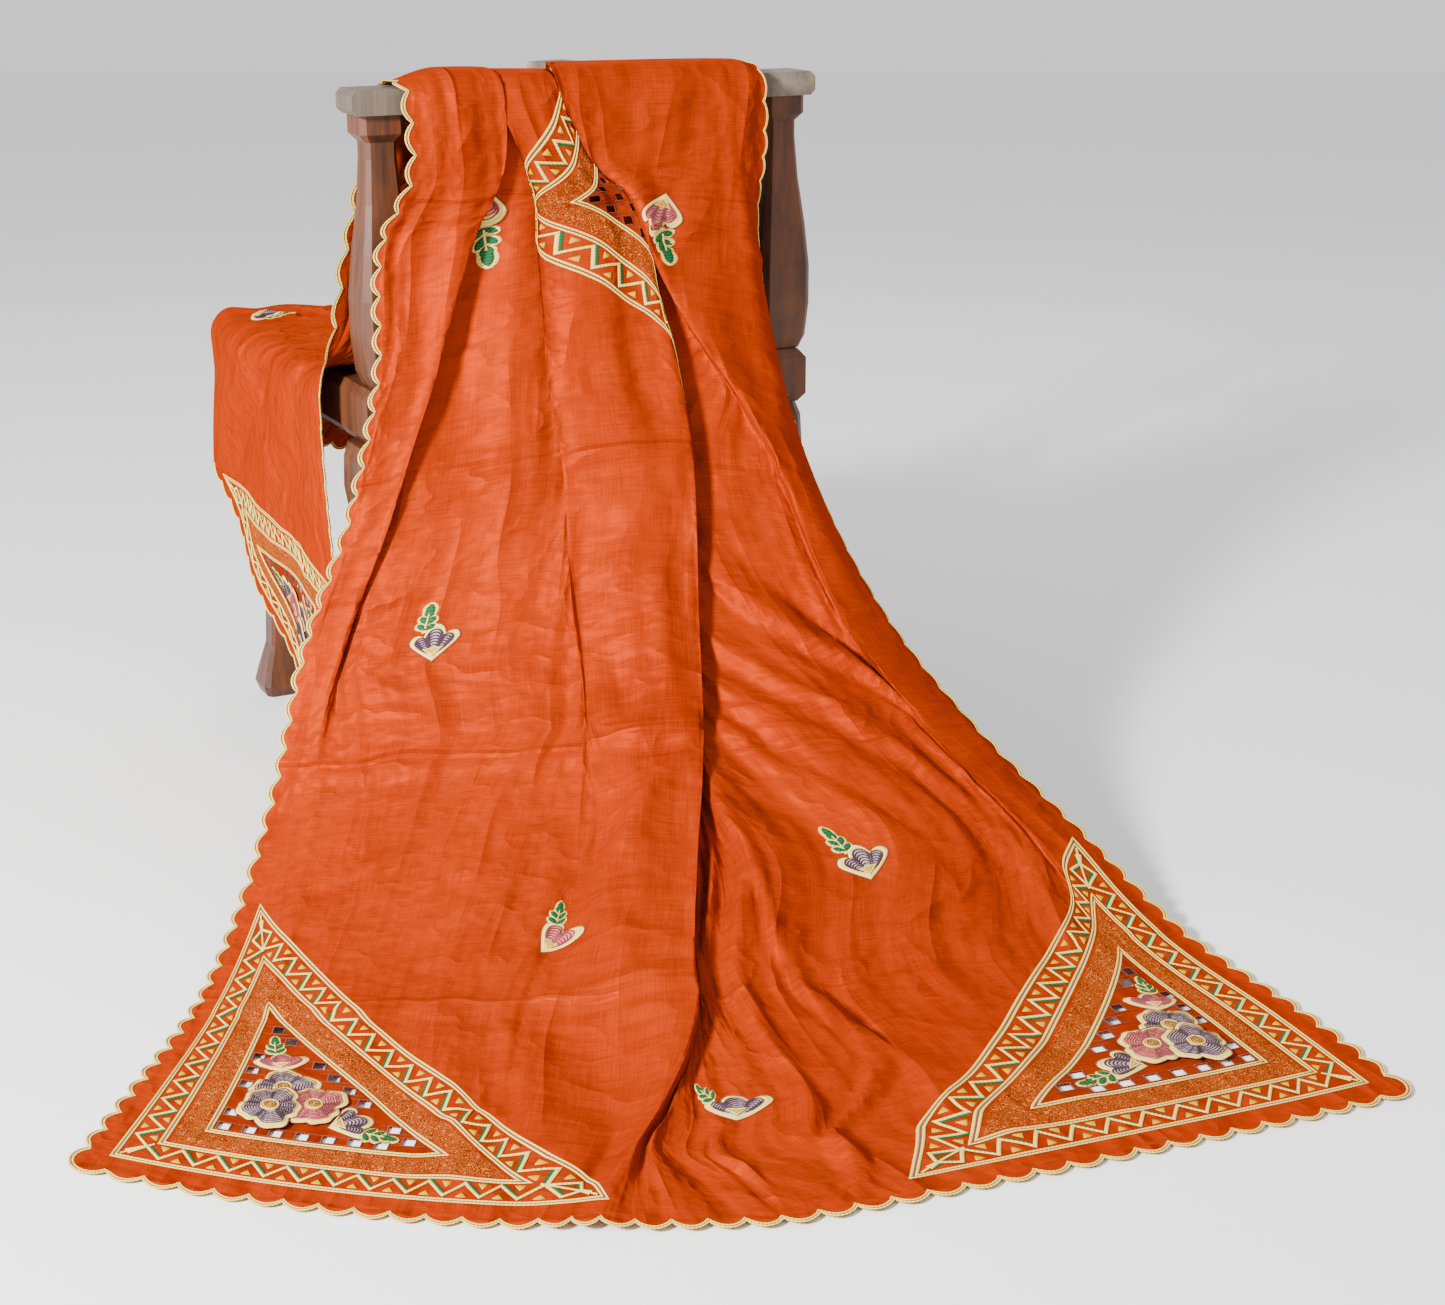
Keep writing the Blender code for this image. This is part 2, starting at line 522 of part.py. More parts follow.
def cut_cells():
    """Centres of all cut cells on the flat cloth, in scallops."""
    cells = []
    for x, y in cut_corner_cells():
        for u in (x, SCALLOPS_ACROSS - x):
            for v in (y, SCALLOPS_ALONG - y):
                cells.append((u, v))
    middle = (SCALLOPS_ACROSS / 2, SCALLOPS_ALONG / 2)
    for row in range(DIAMOND_ROWS):
        reach = DIAMOND_HALF - (BAND_WIDTH + CUT_MARGIN + row * CUT_PITCH) * math.sqrt(2)
        count = round(reach / CUT_PITCH * math.sqrt(2))
        for k in range(count):
            x = reach * k / count
            y = reach - x
            for turned in ((x, y), (y, -x), (-x, -y), (-y, x)):
                cells.append((middle[0] + turned[0], middle[1] + turned[1]))
    return cells


def cell_corners(centre):
    """The corners of a cut cell, a square along the cloth's edges."""
    u, v = centre
    half = CUT_HALF
    return [(u + half, v - half), (u + half, v + half), (u - half, v + half), (u - half, v - half)]


class Pattern:
    """The flat pattern of one stretch: its outline, its cut cells and its inner points."""

    def __init__(self, low, high):
        self.low = low
        self.high = high
        self.points = []
        self.edges = []
        self.cells = []
        self.loops = []

    def seam_v(self, u, station, side):
        """The v of a seam at u, half a seam's width to the stretch's own side."""
        return float(v_at(u, station)) + side * SEAM / SCALLOP

    def outline(self):
        """The outline's points, once round."""
        ends = []
        for u in (0.0, float(SCALLOPS_ACROSS)):
            low_v = 0.0 if self.high > FRONT_STATIONS else self.seam_v(u, self.high, 1)
            high_v = float(SCALLOPS_ALONG) if self.low < SEAT_STATION else self.seam_v(u, self.low, -1)
            ends.append((low_v, high_v))
        if self.high > FRONT_STATIONS:
            near = hem_points()
            ends = [(1.0, ends[0][1]), (1.0, ends[1][1])]
        else:
            columns = row_columns(self.high)[1:-1]
            near = [(c[1], self.seam_v(c[1], self.high, 1)) for c in columns]
        if self.low < SEAT_STATION:
            far = [(u, SCALLOPS_ALONG - v) for u, v in hem_points()]
            last = SCALLOPS_ALONG - 1.0
            ends = [(ends[0][0], last), (ends[1][0], last)]
        else:
            columns = row_columns(self.low)[1:-1]
            far = [(c[1], self.seam_v(c[1], self.low, -1)) for c in columns]
        left = [(-rim_bulge(v), v) for v in rim_places(*ends[0])]
        right = [(SCALLOPS_ACROSS + rim_bulge(v), v) for v in rim_places(*ends[1])]
        return near + right + far[::-1] + left[::-1]

    def fits(self, cell):
        """Whether a cut cell lies well inside the stretch."""
        corners = cell_corners(cell)
        stations = [float(station_of(u, v)) for u, v in corners]
        if min(stations) < self.low + CELL_FROM_SEAM or max(stations) > self.high - CELL_FROM_SEAM:
            return False
        points = place([u for u, v in corners], [v for u, v in corners])
        sides = np.linalg.norm(points - np.roll(points, 1, axis=0), axis=1)
        return min(sides) > LEAST_OPEN * 2 * CUT_HALF * SCALLOP

    def add_loop(self, loop):
        """Adds a closed loop of points."""
        first = len(self.points)
        self.loops.append((first, len(loop)))
        self.points += loop
        count = len(loop)
        self.edges += [(first + k, first + (k + 1) % count) for k in range(count)]

    def near_cell(self, u, v):
        """Whether a point lies in a cut cell or close to it."""
        reach = CUT_HALF + CELL_CLEARANCE
        return any(abs(u - cu) < reach and abs(v - cv) < reach for cu, cv in self.cells)

    def clear_of_cells(self, start, end):
        """Whether the line between two points keeps clear of all cut cells."""
        for k in range(1, LINE_TESTS):
            share = k / LINE_TESTS
            if self.near_cell(start[0] + (end[0] - start[0]) * share, start[1] + (end[1] - start[1]) * share):
                return False
        return True

    def build(self):
        """Fills the points and edges."""
        self.cells = [cell for cell in cut_cells() if self.fits(cell)]
        self.add_loop(self.outline())
        for cell in self.cells:
            self.add_loop(cell_corners(cell))
        previous = {}
        for station in ROW_STATIONS:
            if not self.low + ROW_FROM_SEAM < station < self.high - ROW_FROM_SEAM:
                continue
            row = {}
            for name, u in row_columns(station):
                v = float(v_at(u, station))
                inside = RIM_MARGIN < u < SCALLOPS_ACROSS - RIM_MARGIN
                inside = inside and RIM_MARGIN < v < SCALLOPS_ALONG - RIM_MARGIN
                if not inside or self.near_cell(u, v):
                    continue
                self.points.append((u, v))
                row[name] = len(self.points) - 1
            for key, index in row.items():
                if key == "between" or key not in previous or self.low < SEAT_STATION:
                    continue
                if self.clear_of_cells(self.points[previous[key]], self.points[index]):
                    self.edges.append((previous[key], index))
            previous = row
        if self.high < 0:
            for _ in range(BEND_ROUNDS):
                self.add_bend_points()

    def add_bend_points(self):
        """Adds points where the cloth bends over the seat's edge between two points."""
        points, faces = self.triangles()
        sides = {tuple(sorted((face[k], face[(k + 1) % 3]))) for face in faces for k in range(3)}
        sides = sorted(sides - {tuple(sorted(edge)) for edge in self.edges})
        places = place([p[0] for p in points], [p[1] for p in points])
        middles = [((points[a][0] + points[b][0]) / 2, (points[a][1] + points[b][1]) / 2) for a, b in sides]
        true = place([p[0] for p in middles], [p[1] for p in middles])
        for (a, b), (u, v), point in zip(sides, middles, true):
            away = np.linalg.norm(point - (places[a] + places[b]) / 2)
            inside = RIM_MARGIN < u < SCALLOPS_ACROSS - RIM_MARGIN and v < SCALLOPS_ALONG - RIM_MARGIN
            inside = inside and self.low + RIM_MARGIN < station_of(u, v) < self.high - RIM_MARGIN
            inside = inside and abs(points[a][0] - points[b][0]) < 2 * COLUMN_SPACING
            if away > BEND_CLOSENESS and inside and not self.near_cell(u, v):
                self.points.append((u, v))

    def triangles(self):
        """The pattern's points (u, v) and its triangles, which leave the cut cells open."""
        chart = open_chart([p[0] for p in self.points], [p[1] for p in self.points])
        found, _, faces, sources, _, _ = delaunay_2d_cdt([tuple(p) for p in chart], self.edges, [], 0, 1e-5)
        loops = [chart[start:start + count] for start, count in self.loops]
        ring, cells = loops[0], loops[1:]
        lows = [cell.min(axis=0) for cell in cells]
        highs = [cell.max(axis=0) for cell in cells]
        kept = []
        for face in faces:
            x, y = sum((found[i] for i in face), Vector((0, 0))) / 3
            if not inside_ring(x, y, ring):
                continue
            in_cell = False
            for cell, low, high in zip(cells, lows, highs):
                if low[0] < x < high[0] and low[1] < y < high[1] and inside_ring(x, y, cell):
                    in_cell = True
            if not in_cell:
                kept.append(tuple(sources[i][0] for i in face))
        return self.points, kept


def inside_ring(x, y, ring):
    """Whether a point lies inside a closed ring."""
    inside = False
    for k, (x0, y0) in enumerate(ring):
        x1, y1 = ring[(k + 1) % len(ring)]
        if (y0 > y) != (y1 > y) and x < x0 + (y - y0) / (y1 - y0) * (x1 - x0):
            inside = not inside
    return inside


def make_object(name, points, faces, finish, smooth_angle):
    """A named object from points and faces, with its faces turned outwards."""
    mesh = bpy.data.meshes.new(name)
    mesh.from_pydata([tuple(p) for p in points], [], [tuple(f) for f in faces])
    work = bmesh.new()
    work.from_mesh(mesh)
    bmesh.ops.recalc_face_normals(work, faces=work.faces)
    work.to_mesh(mesh)
    work.free()
    mesh.materials.append(material(finish))
    mesh.shade_smooth()
    mesh.set_sharp_from_angle(angle=math.radians(smooth_angle))
    made = bpy.data.objects.new(name, mesh)
    bpy.context.scene.collection.objects.link(made)
    return made


def make_stretch(name, low, high):
    """One stretch of the cloth as a thin wall."""
    pattern = Pattern(low, high)
    pattern.build()
    flat, faces = pattern.triangles()
    used = sorted({i for face in faces for i in face})
    order = {old: new for new, old in enumerate(used)}
    faces = [tuple(order[i] for i in face) for face in faces]
    u = np.array([flat[i][0] for i in used])
    v = np.array([flat[i][1] for i in used])
    middle = place(u, v)
    half = surface_normals(u, v) * WALL / 2
    outer = middle + half
    inner = middle - half
    count = len(used)
    walls = [face for face in faces] + [tuple(i + count for i in reversed(face)) for face in faces]
    directed = {(face[k], face[(k + 1) % 3]) for face in faces for k in range(3)}
    for a, b in directed:
        if (b, a) not in directed:
            walls.append((b, a, a + count, b + count))
    return make_object(name, np.vstack((outer, inner)), walls, SILK, 40)


def loft(name, sections, finish, smooth_angle=35):
    """A solid through sections, each a ring of as many points, closed at both ends."""
    count = len(sections[0])
    points = [point for section in sections for point in section]
    faces = [tuple(range(count))]
    faces.append(tuple(range(len(points) - count, len(points))))
    for ring in range(len(sections) - 1):
        for k in range(count):
            a = ring * count + k
            b = ring * count + (k + 1) % count
            faces.append((a, b, b + count, a + count))
    return make_object(name, points, faces, finish, smooth_angle)


def square_ring(along, into, height, half, chamfer=0.25):
    """A square with cut corners round a point, in the chair's directions."""
    cut = half * chamfer
    corners = ((half, half - cut), (half - cut, half), (-half + cut, half), (-half, half - cut),
               (-half, -half + cut), (-half + cut, -half), (half - cut, -half), (half, -half + cut))
    return [chair_point(along + x, into + y, height) for x, y in corners]


def slab(name, outline, low, high, finish, edge=0.003):
    """A flat board over an outline in the chair's directions, with its edges eased."""
    centre = np.mean(outline, axis=0)

    def ring(height, inset):
        points = []
        for corner in outline:
            way = centre - np.array(corner)
            moved = np.array(corner) + way / np.linalg.norm(way) * inset
            points.append(chair_point(moved[0], moved[1], height))
        return points

    sections = [ring(low, edge), ring(low + edge, 0), ring(high - edge, 0), ring(high, edge)]
    return loft(name, sections, finish)


# Chair corners in its own directions: near left, far left, far right, near right
SEAT_CORNERS = ((-0.001, 0.002), (-0.001, SEAT_DEPTH - 0.001), (0.385, 0.408), (0.474, 0.002))
# Side rail, from its near end behind the right post to its far end
SIDE_RAIL_CORNERS = ((0.430, 0.0525), (0.343, 0.414), (0.389, 0.424), (0.476, 0.0525))
JOINT_GAP = 0.0003
POST_PLACES = {"left": (0.030, POST_IN), "right": (0.452, POST_IN), "far": (0.366, 0.392)}
# Vase post: share of its height, half width
POST_PROFILE = (
    (0.00, 0.020), (0.05, 0.025), (0.18, 0.028), (0.33, 0.028), (0.50, 0.024), (0.68, 0.018),
    (0.84, 0.015), (0.90, 0.015), (0.93, 0.022), (1.00, 0.022),
)
# Legs: corner place, and the foot's shift outwards along and into
LEG_PLACES = {
    "left": ((0.022, 0.034), (-0.012, 0.004)),
    "far_left": ((0.024, 0.408), (-0.006, 0.010)),
    "far_right": ((0.352, 0.382), (0.020, 0.016)),
    "right": ((0.440, 0.036), (0.026, -0.004)),
}
# Leg: height, share of the foot's shift, half width
LEG_PROFILE = (
    (0.000, 1.00, 0.020), (0.012, 1.05, 0.024), (0.030, 1.00, 0.020), (0.060, 0.60, 0.0145),
    (0.120, 0.15, 0.0150), (0.200, 0.00, 0.0190), (0.280, 0.10, 0.0240), (0.330, 0.30, 0.0285),
    (0.360, 0.25, 0.0280), (0.3745, 0.10, 0.0260),
)


def make_chair():
    """The chair that the cloth rests on."""
    seat_low = SEAT_TOP - SEAT_RAIL_HEIGHT
    slab("chair_seat", SEAT_CORNERS, seat_low, SEAT_TOP, POST_WOOD, edge=0.009)
    near = ((-0.002, 0.0), (-0.002, RAIL_DEPTH), (RAIL_LENGTH + 0.004, RAIL_DEPTH), (RAIL_LENGTH + 0.004, 0.0))
    slab("chair_near_rail", near, RAIL_TOP - RAIL_HEIGHT, RAIL_TOP, RAIL_WOOD, edge=0.005)
    side_top = RAIL_TOP - SIDE_RAIL_DROP
    slab("chair_side_rail", SIDE_RAIL_CORNERS, side_top - RAIL_HEIGHT, side_top, RAIL_WOOD)
    for name, (along, into) in POST_PLACES.items():
        top = (side_top if name == "far" else RAIL_TOP) - RAIL_HEIGHT - JOINT_GAP
        low = SEAT_TOP + JOINT_GAP
        rings = [square_ring(along, into, low + share * (top - low), half) for share, half in POST_PROFILE]
        loft("chair_post_" + name, rings, POST_WOOD)
    for name, ((along, into), (shift_along, shift_into)) in LEG_PLACES.items():
        rings = []
        for height, share, half in LEG_PROFILE:
            rings.append(square_ring(along + share * shift_along, into + share * shift_into, height, half))
        loft("chair_leg_" + name, rings, POST_WOOD)


def stand_at_origin():
    """Moves everything so that the middle of its footprint is the origin and its lowest point is at zero."""
    corners = []
    for made in bpy.context.scene.objects:
        corners.append(np.array([vertex.co for vertex in made.data.vertices]))
    corners = np.vstack(corners)
    low = corners.min(axis=0)
    high = corners.max(axis=0)
    shift = np.array(((low[0] + high[0]) / 2, (low[1] + high[1]) / 2, low[2]))
    for made in bpy.context.scene.objects:
        for vertex in made.data.vertices:
            vertex.co = np.array(vertex.co) - shift


def main():
    """Builds the chair and the cloth."""
    for old in list(bpy.data.objects):
        bpy.data.objects.remove(old, do_unlink=True)
    make_chair()
    for name, low, high in STRETCHES:
        make_stretch(name, low, high)
    stand_at_origin()


main()
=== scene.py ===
"""An embroidered silk dupatta over the rail of a wooden corner chair, dressed for the camera.

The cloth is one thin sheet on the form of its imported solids. Its embroidery is raised thread
work that follows the same sheet, so every stitch bends with the folds.
"""
import logging
import math
from dataclasses import dataclass, field
from enum import Enum
from typing import Callable, Iterable, Sequence

import bpy
import numpy as np
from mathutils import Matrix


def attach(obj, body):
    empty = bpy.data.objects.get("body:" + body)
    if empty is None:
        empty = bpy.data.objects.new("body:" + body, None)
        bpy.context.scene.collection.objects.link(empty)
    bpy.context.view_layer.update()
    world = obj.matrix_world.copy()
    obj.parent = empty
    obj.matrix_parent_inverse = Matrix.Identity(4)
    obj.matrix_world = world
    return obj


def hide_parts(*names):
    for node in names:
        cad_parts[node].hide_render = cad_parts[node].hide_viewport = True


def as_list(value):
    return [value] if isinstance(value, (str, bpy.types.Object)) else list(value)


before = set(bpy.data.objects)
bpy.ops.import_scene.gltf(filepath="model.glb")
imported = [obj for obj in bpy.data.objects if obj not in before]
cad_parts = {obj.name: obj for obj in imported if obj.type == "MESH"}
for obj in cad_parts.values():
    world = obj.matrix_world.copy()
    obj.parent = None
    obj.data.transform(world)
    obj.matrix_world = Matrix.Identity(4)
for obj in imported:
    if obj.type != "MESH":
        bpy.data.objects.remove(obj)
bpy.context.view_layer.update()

LOG = logging.getLogger("dupatta")

Point = tuple[float, float]
Vector = tuple[float, float, float]
Colour = tuple[float, float, float]
Array = np.ndarray
Socket = bpy.types.NodeSocket
Tree = bpy.types.NodeTree
Node = bpy.types.Node
Material = bpy.types.Material
Piece = bpy.types.Object
StitchedPart = tuple[Array, Array, list[list[int]]]

# The flat cloth is measured in scallops of its rim: u runs from the left long edge to the right
# one, v from the front hem to the far hem. All other lengths are metres.
SCALLOP = 0.0277
SCALLOPS_ACROSS = 39
SCALLOPS_ALONG = 80
RIM_HEIGHT = 0.30
RIM_ROUNDNESS = 0.8
CORNER_LOBE_CENTRE = 0.42
MIDDLE_OF_FOOTPRINT = (-0.01801, 2.07137)
CHAIR_NODES = (
    "chair_seat", "chair_near_rail", "chair_side_rail", "chair_post_left", "chair_post_right",
    "chair_post_far", "chair_leg_left", "chair_leg_far_left", "chair_leg_far_right", "chair_leg_right",
)
CLOTH_NODES = (
    "cloth_front_spread", "cloth_front_fall", "cloth_rail_saddle", "cloth_far_fall", "cloth_seat_drape",
)

# Embroidered corners and middle diamond, in scallops. Distances in a band are from its outer line.
BAND_OUTER = 0.7
BAND_WIDTH = 2.3
BAND_LINES = (0.14, 1.18, 2.22)
LINE_SPACING = 0.056
CORNER_LEG = 14.5
DIAMOND_HALF = 9.9
ZIGZAG_FROM = 0.36
ZIGZAG_TO = 0.98
ZIGZAG_PITCH = 1.0
ZIGZAG_SPACING = 0.2
ZIGZAG_TIP_GAP = 0.12
# How far the zigzag's painted shadow line is shifted along its side and inwards
ZIGZAG_SHADOW_SHIFT = (0.05, 0.07)
TOOTH_ROOM = 0.98
TOOTH_HEIGHT = 0.231
TOOTH_HALF = 0.147
TOOTH_CENTRE = 0.0735
TOOTH_OVERLAP = 0.02
MITRE_FROM = 0.28
MITRE_TO = 1.03
FILL_FROM = 1.36
FILL_TO = 2.10

# Cutwork, in scallops
CUT_PITCH = 0.78
CUT_HALF = 0.165
CUT_MARGIN = 0.28
CUT_SPACING = 0.62
CUT_EDGE = 0.03
BAR_LENGTH = 0.28
BAR_SPACING = 0.12
LONG_SIDE_CELLS = 10
DIAMOND_ROWS = 2
# Circles that stay uncut under a corner's bouquet: place from the cloth's corner, radius
UNCUT_CIRCLES = (
    (4.30, 4.55, 0.90), (5.45, 5.00, 0.85), (4.40, 5.80, 0.85), (4.05, 7.15, 0.60), (6.80, 4.40, 0.65),
    (3.60, 8.00, 0.28), (7.75, 3.75, 0.28),
)


class Thread(Enum):
    """The threads of the embroidery."""

    CREAM = "cream"
    GOLD = "gold"
    GREEN = "green"
    ROSE = "rose"
    WINE = "wine"
    LILAC = "lilac"
    PLUM = "plum"
    RUST = "rust"


# The chair under the cloth: its left front corner on the ground, the rail's direction, its sizes
CORNER_LEFT = np.array((-0.334, 2.171))
RAIL_ANGLE = math.radians(27.3)
ALONG_RAIL = np.array((math.cos(RAIL_ANGLE), math.sin(RAIL_ANGLE)))
INTO_SEAT = np.array((-math.sin(RAIL_ANGLE), math.cos(RAIL_ANGLE)))
RAIL_DEPTH = 0.046
RAIL_TOP = 0.709
SEAT_DEPTH = 0.44
SEAT_BACK_SLANT = 0.072
SEAT_EDGE_RADIUS = 0.025

# The cloth's path over the rail
RAIL_TURN_RADIUS = 0.018
RAIL_TURN_IN = 0.005
RAIL_LIFT = 0.0030
RAIL_TURN_PARTS = 4
RAIL_FRONT_END = (2.7, 0.014)
RAIL_CROSSINGS = (0.048, 0.285, 0.412)

# Stations are scallops down from the rail: positive in front, negative behind
FRONT_DROP_LEFT = 44.0
FRONT_DROP_SKEW = 1.9
FRONT_STATIONS = 45.0
STATION_RANGE = (-36.5, 46.0)
STATION_COUNT = 3301
FLOOR_CLEARANCE = 0.0010
ACROSS_PROBE = 0.01
STATION_PROBE = 0.06
END_PROBE = 0.2
END_MARGIN = 0.1

# Cross-sections in front: station down from the rail, then left edge, middle and right edge
FRONT_SECTIONS = (
    (5, (-0.313, 2.184, 0.577), (-0.068, 2.281, 0.596), (0.031, 2.330, 0.580)),
    (10, (-0.321, 2.157, 0.448), (-0.052, 2.235, 0.479), (0.049, 2.280, 0.449)),
    (15, (-0.345, 2.113, 0.328), (-0.037, 2.165, 0.362), (0.090, 2.206, 0.332)),
    (20, (-0.387, 2.073, 0.207), (-0.026, 2.075, 0.240), (0.152, 2.137, 0.226)),
    (25, (-0.409, 2.000, 0.098), (-0.023, 1.965, 0.152), (0.233, 2.064, 0.138)),
    (30, (-0.426, 1.888, 0.026), (-0.024, 1.843, 0.082), (0.328, 1.982, 0.062)),
    (35, (-0.436, 1.758, 0.002), (-0.026, 1.712, 0.030), (0.406, 1.880, 0.010)),
    (40, (-0.453, 1.630, 0.002), (0.010, 1.575, 0.003), (0.476, 1.750, 0.002)),
    (45, (-0.474, 1.505, 0.002), (0.040, 1.430, 0.002), (0.531, 1.614, 0.002)),
)
HEM_BOW = ((0, 0.0, 0.0), (30, 0.0, 0.0), (35, 0.0, 0.010), (40, 0.0, 0.020), (45, 0.0, 0.028))
# Cross-sections behind, in the chair's directions: station, then along the rail, into, height
FAR_SECTIONS = (
    (-4.2, (0.036, 0.069, 0.650), (0.276, 0.064, 0.650), (0.413, 0.064, 0.650)),
    (-7, (0.010, 0.070, 0.555), (0.262, 0.068, 0.555), (0.410, 0.066, 0.555)),
    (-10, (-0.020, 0.070, 0.456), (0.240, 0.090, 0.456), (0.400, 0.084, 0.456)),
    (-12.5, (-0.085, 0.072, 0.4385), (0.190, 0.160, 0.4385), (0.385, 0.140, 0.4385)),
    (-17, (-0.185, 0.060, 0.4350), (0.135, 0.255, 0.4350), (0.360, 0.250, 0.4350)),
    (-23, (-0.265, 0.035, 0.4345), (0.065, 0.345, 0.4345), (0.330, 0.380, 0.4345)),
    (-29, (-0.335, 0.020, 0.4345), (-0.030, 0.430, 0.4345), (0.300, 0.500, 0.4345)),
    (-35, (-0.405, 0.010, 0.4345), (-0.120, 0.510, 0.4345), (0.280, 0.610, 0.4345)),
)
DRAPE_WAVES = 6
DRAPE_WAVE_HEIGHT = 0.007
DRAPE_WAVES_START = -12.0
DRAPE_WAVES_FULL = -26.0

